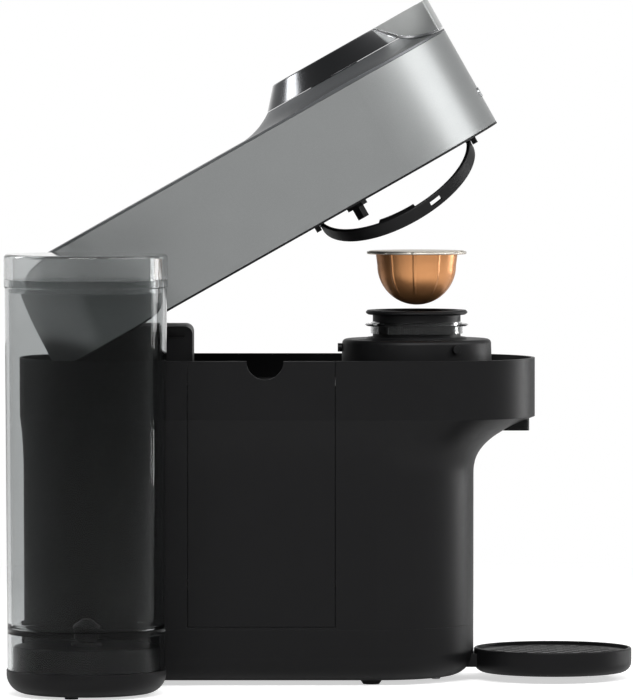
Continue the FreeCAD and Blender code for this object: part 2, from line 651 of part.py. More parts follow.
def brew_base():
    """Fixed drum under the pod holder, with a bearing boss and an arc slot for the ejector finger."""
    low = DECK_TOP_Z
    top = BASE_TOP_Z
    boss = BEARING_RADIUS + BASE_WALL
    floor = low + BASE_WALL
    inner = BASE_RADIUS - BASE_WALL
    slant = BASE_EDGE * (1 - math.sin(math.radians(45)))
    shell = turned([
        (BEARING_RADIUS, low), (BASE_RADIUS + 0.8, low), (BASE_RADIUS, top - BASE_EDGE),
        ((BASE_RADIUS - slant, top - slant), (BASE_RADIUS - BASE_EDGE, top)),
        (BASE_BORE + BASE_COLLAR + 1, top), (BASE_BORE + BASE_COLLAR, top + 1.2), (BASE_BORE, top + 1.2),
        (BASE_BORE, top - BASE_WALL), (inner, top - BASE_WALL), (inner, floor), (boss, floor),
        (boss, low + BEARING_HEIGHT + 1), (BEARING_RADIUS, low + BEARING_HEIGHT + 1)])
    r_low = FINGER_INNER - FINGER_SWING_ROOM
    r_high = FINGER_OUTER + FINGER_SLOT_GAP
    margin = math.degrees(math.asin((FINGER_BAR_HALF_WIDTH + FINGER_SWING_ROOM) / r_low))
    slot = turned([(r_low, top - 2 * BASE_WALL), (r_high, top - 2 * BASE_WALL), (r_high, top + 2), (r_low, top + 2)],
                  sweep=LOCK_TURN_DEG + 2 * margin)
    slot.rotate(vec(0, 0, 0), vec(0, 0, 1), FINGER_DEG - margin)
    return shell.cut([slot] + bayonet_rods())


def bayonet_rods():
    pin = rod(vec(BASE_RADIUS - BASE_WALL, 0, PIN_Z), vec(PIN_TIP, 0, PIN_Z), PIN_RADIUS)
    return around(pin, PIN_COUNT, 180.0)


def bearing(z_low, outer, inner):
    """Sealed bearing drawn as one ring with a shield groove on each face."""
    z_high = z_low + BEARING_HEIGHT
    groove_in = inner + (outer - inner) / 3
    groove_out = outer - (outer - inner) / 3
    depth = 0.6
    return turned([
        (inner, z_low), (groove_in, z_low), (groove_in, z_low + depth), (groove_out, z_low + depth),
        (groove_out, z_low), (outer, z_low), (outer, z_high), (groove_out, z_high), (groove_out, z_high - depth),
        (groove_in, z_high - depth), (groove_in, z_high), (inner, z_high)])


def pod_holder():
    """Spinning cup with a wide rim, a plain neck, a coned foot and a domed seat for the pod."""
    low = HOLDER_TOP_Z - HOLDER_RIM_HEIGHT
    mid_r, mid_z = on_circle(CUP_BALL, -45.0)
    foot = SPINDLE_RADIUS + SPINDLE_FLANGE
    return turned([
        (0, POD_BALL_Z - CUP_BALL), ((mid_r, POD_BALL_Z + mid_z), (CUP_BALL, POD_BALL_Z)),
        (CUP_BORE, HOLDER_TOP_Z), (HOLDER_RIM_RADIUS - 1, HOLDER_TOP_Z), (HOLDER_RIM_RADIUS, HOLDER_TOP_Z - 1),
        (HOLDER_RIM_RADIUS, low + 1), (HOLDER_RIM_RADIUS - 1.5, low), (CUP_RADIUS, low),
        (CUP_RADIUS, CUP_LOW_Z + CUP_CONE_HEIGHT), (foot, CUP_LOW_Z), (0, CUP_LOW_Z)])


def holder_ring():
    """Clear flanged ring on the neck of the holder."""
    sleeve = CUP_RADIUS + 1.5
    z = HOLDER_RING_Z
    return turned([
        (CUP_RADIUS, z - 5.5), (sleeve, z - 5.5), (sleeve, z - 0.4), (HOLDER_RING_RADIUS - 1, z - 0.4),
        (HOLDER_RING_RADIUS, z + 0.6), (HOLDER_RING_RADIUS - 1.4, z + 1.4), (sleeve, z + 1.4),
        (CUP_RADIUS, z + 2.6)])


def drive_spindle():
    """Flanged spindle between the motor and the foot of the cup."""
    flange = SPINDLE_RADIUS + SPINDLE_FLANGE
    return turned([
        (0, DECK_LOW_Z + PART_GAP), (SPINDLE_RADIUS, DECK_LOW_Z + PART_GAP), (SPINDLE_RADIUS, CUP_LOW_Z - 2),
        (flange, CUP_LOW_Z - 2), (flange, CUP_LOW_Z), (0, CUP_LOW_Z)])


def pod_shell():
    """Filled pod: flat rim, tapered side, domed bottom and raised meridian ribs."""
    mid_r, mid_z = on_circle(POD_BALL_RADIUS, -45.0)
    body = turned([
        (0, POD_BALL_Z - POD_BALL_RADIUS), ((mid_r, POD_BALL_Z + mid_z), (POD_BALL_RADIUS, POD_BALL_Z)),
        (POD_DOME_RADIUS, POD_SEAT_Z), (POD_RIM_RADIUS - 1, POD_SEAT_Z),
        ((POD_RIM_RADIUS, POD_SEAT_Z + POD_RIM_HEIGHT / 2), (POD_RIM_RADIUS - 1, POD_RIM_TOP_Z)),
        (0, POD_RIM_TOP_Z)])
    outside = POD_BALL_RADIUS + POD_RIB_HEIGHT
    inside = POD_BALL_RADIUS - POD_RIB_HEIGHT
    low_in = on_circle(inside, -POD_RIB_LOW_DEG)
    low_out = on_circle(outside, -POD_RIB_LOW_DEG)
    mid_out = on_circle(outside, -POD_RIB_LOW_DEG / 2)
    mid_in = on_circle(inside, -POD_RIB_LOW_DEG / 2)
    rib = turned([
        (low_in[0], POD_BALL_Z + low_in[1]), (low_out[0], POD_BALL_Z + low_out[1]),
        ((mid_out[0], POD_BALL_Z + mid_out[1]), (outside, POD_BALL_Z)),
        (POD_DOME_RADIUS + POD_RIB_HEIGHT, POD_SEAT_Z - 3), (POD_DOME_RADIUS - POD_RIB_HEIGHT, POD_SEAT_Z - 2),
        (inside, POD_BALL_Z), ((mid_in[0], POD_BALL_Z + mid_in[1]), (low_in[0], POD_BALL_Z + low_in[1]))][1:],
        sweep=POD_RIB_DEG)
    return joined(body, *around(rib, POD_RIB_COUNT, POD_VIEW_DEG - POD_RIB_DEG / 2))


def pod_foil():
    return drum(0, 0, POD_RIM_TOP_Z, POD_TOP_Z, POD_RIM_RADIUS - POD_FOIL_EDGE)


def coffee_outlet(outer):
    """Spout block under the overhanging front, with two bores."""
    front = BODY_FRONT - OUTLET_NOSE_GAP
    spout = rounded_block(front - OUTLET_LENGTH, front, -OUTLET_HALF_WIDTH, OUTLET_HALF_WIDTH,
                          BAND_LOW_Z - OUTLET_DROP, BAND_LOW_Z, OUTLET_CORNER)
    bores = [drum(front - OUTLET_LENGTH / 2, y, BAND_LOW_Z - OUTLET_DROP, BAND_LOW_Z, OUTLET_BORE / 2)
             for y in (-OUTLET_BORE, OUTLET_BORE)]
    return spout.cut(outer).cut(bores)


def coffee_duct():
    """Channel that takes the coffee forward under the deck to the outlet."""
    rear = MOTOR_RADIUS + DUCT_WALL + PART_GAP
    front = BODY_FRONT - OUTLET_NOSE_GAP - DUCT_WALL
    duct = block(rear, front, -DUCT_HALF_WIDTH, DUCT_HALF_WIDTH, DECK_LOW_Z - DUCT_HEIGHT, DECK_LOW_Z)
    channel = block(rear + DUCT_WALL, front - DUCT_WALL, DUCT_WALL - DUCT_HALF_WIDTH, DUCT_HALF_WIDTH - DUCT_WALL,
                    DECK_LOW_Z - DUCT_HEIGHT + DUCT_WALL, DECK_LOW_Z)
    return duct.cut(channel)


def drive_motor():
    """Finned brushless motor hung under the deck on its shaft boss."""
    top = DECK_LOW_Z - MOTOR_DROP
    low = top - MOTOR_HEIGHT
    boss = BEARING_RADIUS + BASE_WALL + 4
    can = turned([
        (0, low), (MOTOR_RADIUS - 4, low), (MOTOR_RADIUS, low + 4), (MOTOR_RADIUS, top - 3), (MOTOR_RADIUS - 3, top),
        (boss, top), (boss, DECK_LOW_Z), (boss - 3, DECK_LOW_Z), (boss - 3, top), (0, top)])
    fins = around(block(MOTOR_RADIUS - 1, MOTOR_RADIUS + 2, -1.2, 1.2, low + 10, top - 8), MOTOR_FINS)
    return joined(can, *fins)


def heater_block():
    """Cast flow heater with fixing ears and two pipe stubs toward the far side."""
    x_low = FRONT_BAY_X - HEATER_LENGTH / 2
    x_high = FRONT_BAY_X + HEATER_LENGTH / 2
    low = INNER_FLOOR_Z
    core = rounded_block(x_low, x_high, -HEATER_HALF_WIDTH, HEATER_HALF_WIDTH, low, low + HEATER_HEIGHT, 6)
    ears = rounded_block(x_low - 9, x_high + 9, -9, 9, low, low + 5, 4)
    holes = [drum(x, 0, low, low + 5, 2.2) for x in (x_low - 4, x_high + 4)]
    z = low + HEATER_HEIGHT / 2
    stubs = [rod(vec(x, 0, z), vec(x, HEATER_HALF_WIDTH + 8, z), HOSE_RADIUS) for x in heater_ports()]
    return joined(core, ears, *stubs).cut(holes)


def heater_ports():
    """Places along X of the heater's inlet and outlet."""
    return FRONT_BAY_X - HEATER_LENGTH / 4, FRONT_BAY_X + HEATER_LENGTH / 4


def water_pump():
    """Vibration pump: coil yoke on a barrel lying along X, with an inlet and an outlet nipple."""
    x = PUMP_X
    z = INNER_FLOOR_Z + PUMP_YOKE
    yoke = rounded_block(x - PUMP_YOKE_LENGTH / 2, x + PUMP_YOKE_LENGTH / 2, PUMP_Y - PUMP_YOKE, PUMP_Y + PUMP_YOKE,
                         z - PUMP_YOKE, z + PUMP_YOKE, 3)
    half = PUMP_LENGTH / 2
    barrel = rod(vec(x - half, PUMP_Y, z), vec(x + half, PUMP_Y, z), PUMP_RADIUS)
    nipples = rod(vec(x - half - 6, PUMP_Y, z), vec(x + half + 6, PUMP_Y, z), HOSE_RADIUS)
    return joined(yoke, barrel, nipples)


def flow_meter():
    """Small drum-shaped flow meter beside the pump."""
    x = PUMP_X - PUMP_LENGTH / 2
    y = PUMP_Y - PUMP_YOKE - METER_RADIUS - HOSE_WALL_GAP
    low = INNER_FLOOR_Z
    top = low + METER_HEIGHT
    return turned([(0, low), (METER_RADIUS, low), (METER_RADIUS, top - 3), (METER_RADIUS - 4, top), (0, top)], x, y)


def control_board():
    """Circuit board on edge at the far side, with its taller components facing the wall."""
    x = BIN_OPENING_REAR - HOSE_WALL_GAP - BOARD_LENGTH
    top = DECK_LOW_Z - LEDGE_WIDTH - BIN_HEADROOM
    low = top - BOARD_HEIGHT
    face = BOARD_Y + BOARD_THICKNESS
    board = block(x, x + BOARD_LENGTH, BOARD_Y, face, low, top)
    relay = block(x + 6, x + 26, face, face + 14, top - 30, top - 6)
    choke = block(x + 28, x + 46, face, face + 12, low + 8, low + 30)
    heat_sink = block(x + 12, x + 20, face, face + 9, low + 6, low + 34)
    capacitors = [rod(vec(x + 57, face, low + z), vec(x + 57, face + 15, low + z), r) for z, r in ((20, 8), (42, 6))]
    return joined(board, relay, choke, heat_sink, *capacitors)


def suction_hose():
    """Silicone hose from the top of the flow meter round to the pump inlet."""
    x = PUMP_X - PUMP_LENGTH / 2
    y = PUMP_Y - PUMP_YOKE - METER_RADIUS - HOSE_WALL_GAP
    top = INNER_FLOOR_Z + METER_HEIGHT
    z = INNER_FLOOR_Z + PUMP_YOKE
    turn = x - 6 - 4 * HOSE_RADIUS
    return bent_tube([
        vec(x, y, top), vec(x, y, z + 4 * HOSE_RADIUS), vec(turn, y, z + 4 * HOSE_RADIUS),
        vec(turn, PUMP_Y, z), vec(x - 6, PUMP_Y, z)], HOSE_RADIUS, HOSE_BEND)


def pressure_hose():
    """Hose from the pump outlet along the far wall, past the container, to the heater inlet."""
    start = PUMP_X + PUMP_LENGTH / 2 + 6
    turn = start + 3 * HOSE_RADIUS
    z = INNER_FLOOR_Z + PUMP_YOKE
    port_x = heater_ports()[0]
    port_z = INNER_FLOOR_Z + HEATER_HEIGHT / 2
    return bent_tube([
        vec(start, PUMP_Y, z), vec(turn, PUMP_Y, z), vec(turn, HOSE_Y, z), vec(port_x, HOSE_Y, port_z),
        vec(port_x, HEATER_HALF_WIDTH + 8, port_z)], HOSE_RADIUS, HOSE_BEND)


def tank_base():
    """Round base of the water tank with its boss and swivel arm."""
    low = TANK_BASE_LOW_Z
    bend = TANK_BASE_ROUNDING * (1 - math.sin(math.radians(45)))
    step = TANK_FOOT_Z - SLIDE_GAP
    roof = TANK_BOSS_Z - TANK_FLOOR
    body = turned([
        (TANK_BASE_RECESS, low), (TANK_BASE_RADIUS - TANK_BASE_ROUNDING, low),
        ((TANK_BASE_RADIUS - bend, low + bend), (TANK_BASE_RADIUS, low + TANK_BASE_ROUNDING)),
        (TANK_BASE_RADIUS, step), (TANK_BOSS_RADIUS, step), (TANK_BOSS_RADIUS, TANK_BOSS_Z - 1),
        (TANK_BOSS_RADIUS - 1, TANK_BOSS_Z), (0, TANK_BOSS_Z), (0, roof), (TANK_BASE_RECESS, roof)], TANK_X, TANK_Y)
    half = SWIVEL_ARM_WIDTH / 2
    high = SWIVEL_ARM_Z + SWIVEL_ARM_HEIGHT
    arm = block(SWIVEL_X - half, SWIVEL_X + half, TANK_Y + TANK_BASE_RECESS + 4, 0, SWIVEL_ARM_Z, high)
    eye = drum(SWIVEL_X, 0, SWIVEL_ARM_Z, high, half)
    bore = drum(SWIVEL_X, 0, SWIVEL_ARM_Z, high, SWIVEL_POST_RADIUS + RUNNING_GAP)
    return joined(body, arm, eye).cut(bore)


def tank_feet():
    """Three pads under the tank base."""
    pitch = (TANK_BASE_RECESS + TANK_BASE_RADIUS - TANK_BASE_ROUNDING) / 2
    feet = []
    for deg in (255.0, 15.0, 135.0):
        x, y = on_circle(pitch, deg)
        feet.append(drum(TANK_X + x, TANK_Y + y, 0, TANK_BASE_LOW_Z, TANK_FOOT_RADIUS))
    return Part.makeCompound(feet)


def tank_coupling():
    """Water spigot on the boss of the tank base."""
    z = TANK_BOSS_Z
    foot = SPIGOT_RADIUS + 5
    return turned([
        (SPIGOT_BORE, z), (foot, z), (foot, z + 1.5), (SPIGOT_RADIUS, z + 2.5), (SPIGOT_RADIUS, z + SPIGOT_HEIGHT),
        (SPIGOT_BORE, z + SPIGOT_HEIGHT)], TANK_X, TANK_Y)


def water_tank():
    """Clear tapered tank with a raised floor, a skirt and a rim flange."""
    flange = TANK_RIM_Z - TANK_RIM_HEIGHT
    hole = VALVE_RADIUS - VALVE_STEM_INSET
    floor = TANK_FLOOR_Z + TANK_FLOOR
    low_in = TANK_LOW_RADIUS - TANK_WALL
    top_in = TANK_TOP_RADIUS - TANK_WALL
    bend = TANK_FLOOR_ROUND * (1 - math.sin(math.radians(45)))
    return turned([
        (hole, TANK_FLOOR_Z), (low_in, TANK_FLOOR_Z), (low_in, TANK_FOOT_Z), (TANK_LOW_RADIUS, TANK_FOOT_Z),
        (TANK_TOP_RADIUS, flange), (TANK_RADIUS, flange + TANK_FLANGE), (TANK_RADIUS, TANK_RIM_Z),
        (top_in, TANK_RIM_Z), (top_in, flange), (low_in, floor + TANK_FLOOR_ROUND),
        ((low_in - bend, floor + bend), (low_in - TANK_FLOOR_ROUND, floor)), (hole, floor)], TANK_X, TANK_Y)


def tank_valve():
    """Valve body through the tank floor, with a coned strainer on top."""
    stem = VALVE_RADIUS - VALVE_STEM_INSET
    low = TANK_BOSS_Z + 3
    top = TANK_FLOOR_Z + TANK_FLOOR
    bore = SPIGOT_RADIUS + PART_GAP
    return turned([
        (bore, low), (stem, low), (stem, top), (VALVE_RADIUS, top), (VALVE_RADIUS, top + 2),
        (VALVE_RADIUS / 3, top + VALVE_HEIGHT), (0, top + VALVE_HEIGHT), (0, top - 1), (bore, top - 1)],
        TANK_X, TANK_Y)


def tank_lid():
    """Clear drop-in lid with a tall outer band and a plug skirt."""
    low = TANK_RIM_Z + SLIDE_GAP
    top = low + LID_HEIGHT
    plug = TANK_TOP_RADIUS - TANK_WALL - SLIDE_GAP
    bend = LID_EDGE * (1 - math.sin(math.radians(45)))
    return turned([
        (plug - TANK_WALL, low - LID_PLUG), (plug, low - LID_PLUG), (plug, low), (TANK_RADIUS, low),
        (TANK_RADIUS, top - LID_EDGE), ((TANK_RADIUS - bend, top - bend), (TANK_RADIUS - LID_EDGE, top)),
        (0, top), (0, top - TANK_WALL), (plug - TANK_WALL, top - TANK_WALL)], TANK_X, TANK_Y)


def cup_tray():
    """Round drip tray with its tongue for the socket in the pan."""
    bend = TRAY_ROUNDING * (1 - math.sin(math.radians(45)))
    floor = TRAY_LOW_Z + TRAY_WALL
    inner = TRAY_RADIUS - TRAY_WALL
    ledge = GRID_TOP_Z - GRID_THICKNESS - SLIDE_GAP
    bowl = turned([
        (0, TRAY_LOW_Z), (TRAY_RADIUS - TRAY_ROUNDING, TRAY_LOW_Z),
        ((TRAY_RADIUS - bend, TRAY_LOW_Z + bend), (TRAY_RADIUS, TRAY_LOW_Z + TRAY_ROUNDING)),
        (TRAY_RADIUS, TRAY_RIM_Z - 0.8), (TRAY_RADIUS - 0.8, TRAY_RIM_Z), (inner, TRAY_RIM_Z), (inner, ledge),
        (inner - TRAY_LEDGE, ledge), (inner - TRAY_LEDGE, floor + 3), (inner - TRAY_LEDGE - 4, floor), (0, floor)],
        TRAY_X, 0)
    tongue = block(COLUMN_FRONT - TONGUE_REACH + SLIDE_GAP, TRAY_X - TRAY_RADIUS + TRAY_ROUNDING,
                   -TONGUE_HALF_WIDTH, TONGUE_HALF_WIDTH, TONGUE_Z, TONGUE_Z + TONGUE_HEIGHT)
    return joined(bowl, tongue.cut(drum(TRAY_X, 0, 0, TRAY_RIM_Z, inner)))


def cup_grid():
    """Perforated plate that the cup stands on, with holes in a six-sided pattern."""
    radius = TRAY_RADIUS - TRAY_WALL - SLIDE_GAP
    plate = drum(TRAY_X, 0, GRID_TOP_Z - GRID_THICKNESS, GRID_TOP_Z, radius)
    rings = int((radius - GRID_EDGE - GRID_HOLE) / GRID_PITCH)
    holes = []
    for row in range(-rings, rings + 1):
        span = 2 * rings - abs(row)
        for step in range(span + 1):
            x = TRAY_X + (step - span / 2) * GRID_PITCH
            y = row * GRID_PITCH * math.sin(math.radians(60))
            holes.append(drum(x, y, GRID_TOP_Z - GRID_THICKNESS, GRID_TOP_Z, GRID_HOLE))
    return plate.cut(holes)


def head_sleeve():
    """Drawn side wall of the head, a stadium-shaped tube with the button window."""
    tube = head_slab(0.0, SLEEVE_LOW_Z, SLEEVE_TOP_Z).cut(head_slab(SLEEVE_WALL, SLEEVE_LOW_Z, SLEEVE_TOP_Z))
    return tube.cut(button_bar(SLIDE_GAP))


def button_bar(grow):
    """Pill-shaped bar along X that the button and its window are cut from."""
    half = BUTTON_HEIGHT / 2 + grow
    straight = BUTTON_HALF_WIDTH - BUTTON_HEIGHT / 2
    x_rear = BODY_FRONT - BUTTON_DEPTH
    x_front = BODY_FRONT + BUTTON_DEPTH
    bar = block(x_rear, x_front, -straight, straight, BUTTON_Z - half, BUTTON_Z + half)
    ends = [rod(vec(x_rear, y, BUTTON_Z), vec(x_front, y, BUTTON_Z), half) for y in (-straight, straight)]
    return joined(bar, *ends)


def brew_button():
    """Pill-shaped key, its face curved like the front of the head."""
    face = drum(NOSE_REACH, 0, SLEEVE_LOW_Z, SLEEVE_TOP_Z, BODY_HALF_WIDTH + BUTTON_PROUD)
    return button_bar(0.0).common(face)


def button_board():
    """Small circuit board with the key switch behind the button."""
    x = BODY_FRONT - BUTTON_DEPTH - BUTTON_TRAVEL - PART_GAP
    board = block(x - BOARD_THICKNESS - 1.5, x - 1.5, -18, 18, BUTTON_Z - 10, BUTTON_Z + 10)
    switch = block(x - 1.5, x, -3, 3, BUTTON_Z - 3, BUTTON_Z + 3)
    return joined(board, switch)


def flare_run(lift):
    """Concave run from the cover up to the foot of the lever disc, moved out by a lift."""
    foot = FLARE_FOOT_RADIUS + lift
    z = HEAD_TOP_Z + lift
    via = (foot - FLARE_BELLY_RUN, z + FLARE_BELLY_RISE)
    return [(foot, z), (via, (DISC_RADIUS + lift, z + FLARE_HEIGHT))]


def head_cover():
    """Top cover with the concave round flare that rises to the lever disc."""
    plan = head_slab(0.0, COVER_LOW_Z, FLARE_TOP_Z)
    plate = head_slab(0.0, COVER_LOW_Z, HEAD_TOP_Z)
    hill = turned([(0, COVER_LOW_Z), (FLARE_FOOT_RADIUS, COVER_LOW_Z)] + flare_run(0.0) + [(0, FLARE_TOP_Z)])
    hollow = drum(0, 0, COVER_LOW_Z, FLARE_TOP_Z - COVER_THICKNESS, DISC_RADIUS - COVER_THICKNESS)
    well = HUB_RADIUS + BUSH_WALL
    collar = drum(0, 0, COVER_LOW_Z, FLARE_TOP_Z, well + COVER_THICKNESS)
    return joined(joined(plate, hill.common(plan)).cut(hollow), collar).cut(drum(0, 0, COVER_LOW_Z, FLARE_TOP_Z, well))


def lever_bush():
    """Plain bush in the cover that the lever hub turns in."""
    ring = drum(0, 0, COVER_LOW_Z, FLARE_TOP_Z, HUB_RADIUS + BUSH_WALL)
    return ring.cut(drum(0, 0, COVER_LOW_Z, FLARE_TOP_Z, HUB_RADIUS + RUNNING_GAP))


def head_belly():
    """Underside plate of the head with the brew opening, the hinge opening and the hinge cheeks."""
    plate_top = HEAD_LOW_Z + BELLY_THICKNESS
    lip_top = HEAD_LOW_Z + BELLY_UPSTAND
    plate = head_slab(0.0, HEAD_LOW_Z, plate_top)
    inset = SLEEVE_WALL + SEAT_GAP
    lip = head_slab(inset, plate_top, lip_top).cut(head_slab(inset + BELLY_LIP, plate_top, lip_top))
    brew = drum(0, 0, HEAD_LOW_Z, lip_top, BREW_OPENING_RADIUS)
    half = PEDESTAL_HALF_WIDTH + PART_GAP
    slot = block(HINGE_X - HINGE_BARREL_RADIUS - HINGE_SLOT_ROOM, PEDESTAL_FRONT + HINGE_SLOT_ROOM, -half, half,
                 HEAD_LOW_Z, lip_top)
    cheeks = []
    for y in (-half - KNUCKLE_THICKNESS, half):
        cheeks.append(prism_y([
            (HINGE_X - HINGE_BARREL_RADIUS - 1, HEAD_LOW_Z), (HINGE_X + KNUCKLE_FOOT, HEAD_LOW_Z),
            (HINGE_X + HINGE_BARREL_RADIUS, HINGE_Z),
            ((HINGE_X, HINGE_Z + HINGE_BARREL_RADIUS), (HINGE_X - HINGE_BARREL_RADIUS, HINGE_Z))],
            y, y + KNUCKLE_THICKNESS))
    return joined(joined(plate, lip).cut([brew, slot]), *cheeks).cut(hinge_pin())


def lever_disc():
    """Polished cone-sided disc of the lock lever."""
    edge = 0.6
    edge_radius = DISC_TOP_RADIUS + edge * (DISC_RADIUS - DISC_TOP_RADIUS) / DISC_HEIGHT
    inner = DISC_TOP_RADIUS - DISC_RIM
    return turned([
        (HUB_RADIUS, DISC_LOW_Z), (DISC_RADIUS, DISC_LOW_Z), (edge_radius, DISC_TOP_Z - edge),
        (DISC_TOP_RADIUS - edge, DISC_TOP_Z), (inner, DISC_TOP_Z), (inner - 1, DISC_TOP_Z - 1),
        (0, DISC_TOP_Z - 1), (0, DISC_TOP_Z - 4), (HUB_RADIUS, DISC_TOP_Z - 4)])


def lever_plan():
    """Fish-tail plan of the handle, cut to the round front of the head."""
    root = DISC_TOP_RADIUS - 8
    bend_x = HANDLE_NECK_REACH + 0.6 * (HANDLE_TAIL_REACH - HANDLE_NECK_REACH)
    bend_y = HANDLE_NECK + 0.3 * (HANDLE_TAIL - HANDLE_NECK)
    tip = BODY_FRONT + 15
    plan = prism_z([
        (root, 1 - HANDLE_NECK), (HANDLE_NECK_REACH, -HANDLE_NECK),
        ((bend_x, -bend_y), (HANDLE_TAIL_REACH, -HANDLE_TAIL)), (tip, -HANDLE_TAIL), (tip, HANDLE_TAIL),
        (HANDLE_TAIL_REACH, HANDLE_TAIL), ((bend_x, bend_y), (HANDLE_NECK_REACH, HANDLE_NECK)),
        (root, HANDLE_NECK - 1)], HEAD_TOP_Z, DISC_TOP_Z)
    return plan.common(drum(NOSE_REACH, 0, HEAD_TOP_Z, DISC_TOP_Z, BODY_HALF_WIDTH))


def lever_seat(lift):
    """Everything under the handle: the flare, its running gap and the cone of the disc."""
    wide = FLARE_FOOT_RADIUS + 30
    over = PART_GAP + lift
    run = flare_run(over)
    low = HEAD_TOP_Z - COVER_THICKNESS
    return turned([(0, low), (wide, low), (wide, HEAD_TOP_Z + over)] + run[:1]
                  + [(run[1][0], (DISC_RADIUS + lift, DISC_LOW_Z + lift)), (DISC_TOP_RADIUS + lift, DISC_TOP_Z),
                     (DISC_TOP_RADIUS + lift, DISC_TOP_Z + 3), (0, DISC_TOP_Z + 3)])


def lever_trim():
    """Bright strip between the handle and the surfaces under it."""
    return lever_plan().cut(lever_seat(0.0)).common(lever_seat(TRIM_THICKNESS))


def lever_handle():
    return lever_plan().cut(lever_seat(TRIM_THICKNESS))


def lock_carrier():
    """Hub of the lever with the carrier plate, two ring arms and the ejector finger."""
    top = CARRIER_Z + CARRIER_THICKNESS
    hub = drum(0, 0, CARRIER_Z, DISC_TOP_Z - 4, HUB_RADIUS)
    plate = drum(0, 0, CARRIER_Z, top, CARRIER_RADIUS)
    arm_low = RING_Z - RING_PIN_RADIUS - ARM_GAP - 1
    arms = drum(0, 0, arm_low, CARRIER_Z, CARRIER_RADIUS).cut(drum(0, 0, arm_low, CARRIER_Z, ARM_INNER))
    arms = arms.common(block(-CARRIER_RADIUS, CARRIER_RADIUS, -ARM_HALF_WIDTH, ARM_HALF_WIDTH, arm_low, CARRIER_Z))
    stem = block(FINGER_INNER, FINGER_OUTER, -FINGER_HALF_WIDTH, FINGER_HALF_WIDTH, FINGER_LOW_Z, CARRIER_Z)
    bar_low = FINGER_LOW_Z + FINGER_TIP
    bar = block(FINGER_INNER, FINGER_OUTER, -FINGER_BAR_HALF_WIDTH, FINGER_BAR_HALF_WIDTH,
                bar_low, bar_low + FINGER_BAR_HEIGHT)
    finger = joined(stem, bar)
    finger.rotate(vec(0, 0, 0), vec(0, 0, 1), FINGER_DEG)
    bore = drum(0, 0, CARRIER_Z, DISC_TOP_Z, HUB_BORE)
    pin_line = rod(vec(-BODY_HALF_WIDTH, 0, RING_Z), vec(BODY_HALF_WIDTH, 0, RING_Z), RING_PIN_RADIUS)
    return joined(hub, plate, arms, finger).cut([bore, pin_line])


def ring_pins():
    """Two pins at the ends of the carrier's arms."""
    return Part.makeCompound([
        rod(vec(side * RING_INNER, 0, RING_Z), vec(side * CARRIER_RADIUS, 0, RING_Z), RING_PIN_RADIUS)
        for side in (-1, 1)])


def lock_ring():
    """Bayonet ring with three inner lugs, hung on two pins."""
    low = RING_TOP_Z - RING_HEIGHT
    edge = 0.5
    band = turned([
        (RING_INNER, low), (RING_RADIUS - edge, low), (RING_RADIUS, low + edge), (RING_RADIUS, RING_TOP_Z - edge),
        (RING_RADIUS - edge, RING_TOP_Z), (RING_INNER, RING_TOP_Z)])
    lug_low = RING_TOP_Z - LUG_HEIGHT
    lug = turned([
        (LUG_INNER_RADIUS, lug_low + 1), (LUG_INNER_RADIUS + 1, lug_low), (RING_INNER, lug_low),
        (RING_INNER, RING_TOP_Z), (LUG_INNER_RADIUS, RING_TOP_Z)], sweep=2 * LUG_HALF_DEG)
    first = 180.0 - LOCK_TURN_DEG - LUG_HALF_DEG
    holes = rod(vec(-BODY_HALF_WIDTH, 0, RING_Z), vec(BODY_HALF_WIDTH, 0, RING_Z), RING_PIN_RADIUS + RUNNING_GAP)
    slot = block(RING_INNER - 1, RING_RADIUS + 1, -RING_SLOT_HALF_WIDTH, RING_SLOT_HALF_WIDTH,
                 RING_Z - RING_SLOT_HEIGHT / 2, RING_Z + RING_SLOT_HEIGHT / 2)
    slot.rotate(vec(0, 0, 0), vec(0, 0, 1), RING_SLOT_DEG)
    return joined(band, *around(lug, PIN_COUNT, first)).cut([holes, slot])


def injector_plate():
    """Spinning upper plate with its shaft and the groove for the pod seal."""
    low = INJECTOR_LOW_Z
    neck = INJECTOR_SHAFT + 4
    shaft_top = CARRIER_Z + BEARING_HEIGHT + 6
    plate = turned([
        (0, low), (INJECTOR_RADIUS - 1, low), (INJECTOR_RADIUS, low + 1), (INJECTOR_RADIUS, low + INJECTOR_THICKNESS),
        (neck, low + INJECTOR_THICKNESS + 1), (neck, CARRIER_Z - PART_GAP), (INJECTOR_SHAFT, CARRIER_Z - PART_GAP),
        (INJECTOR_SHAFT, shaft_top), (0, shaft_top)])
    return plate.cut(pod_seal())


def pod_seal():
    """Square-section ring let into the face of the injector plate."""
    outer = INJECTOR_RADIUS - SEAL_EDGE
    low = INJECTOR_LOW_Z - SEAL_PROUD
    high = low + SEAL_HEIGHT
    return turned([(outer - SEAL_WIDTH, low), (outer, low), (outer, high), (outer - SEAL_WIDTH, high)])


def swing_open(shape):
    """Turn a head piece from shut to the open resting position."""
    shape = shape.copy()
    shape.rotate(vec(HINGE_X, 0, HINGE_Z), vec(0, -1, 0), HEAD_OPEN_DEG)
    return shape


def tip_ring(shape):
    """Tip the lock ring sideways on its pins, as it hangs with the head open."""
    shape = shape.copy()
    shape.rotate(vec(0, 0, RING_Z), vec(1, 0, 0), RING_TILT_DEG)
    return shape


def raised(shape, height):
    shape = shape.copy()
    shape.translate(vec(0, 0, height))
    return shape


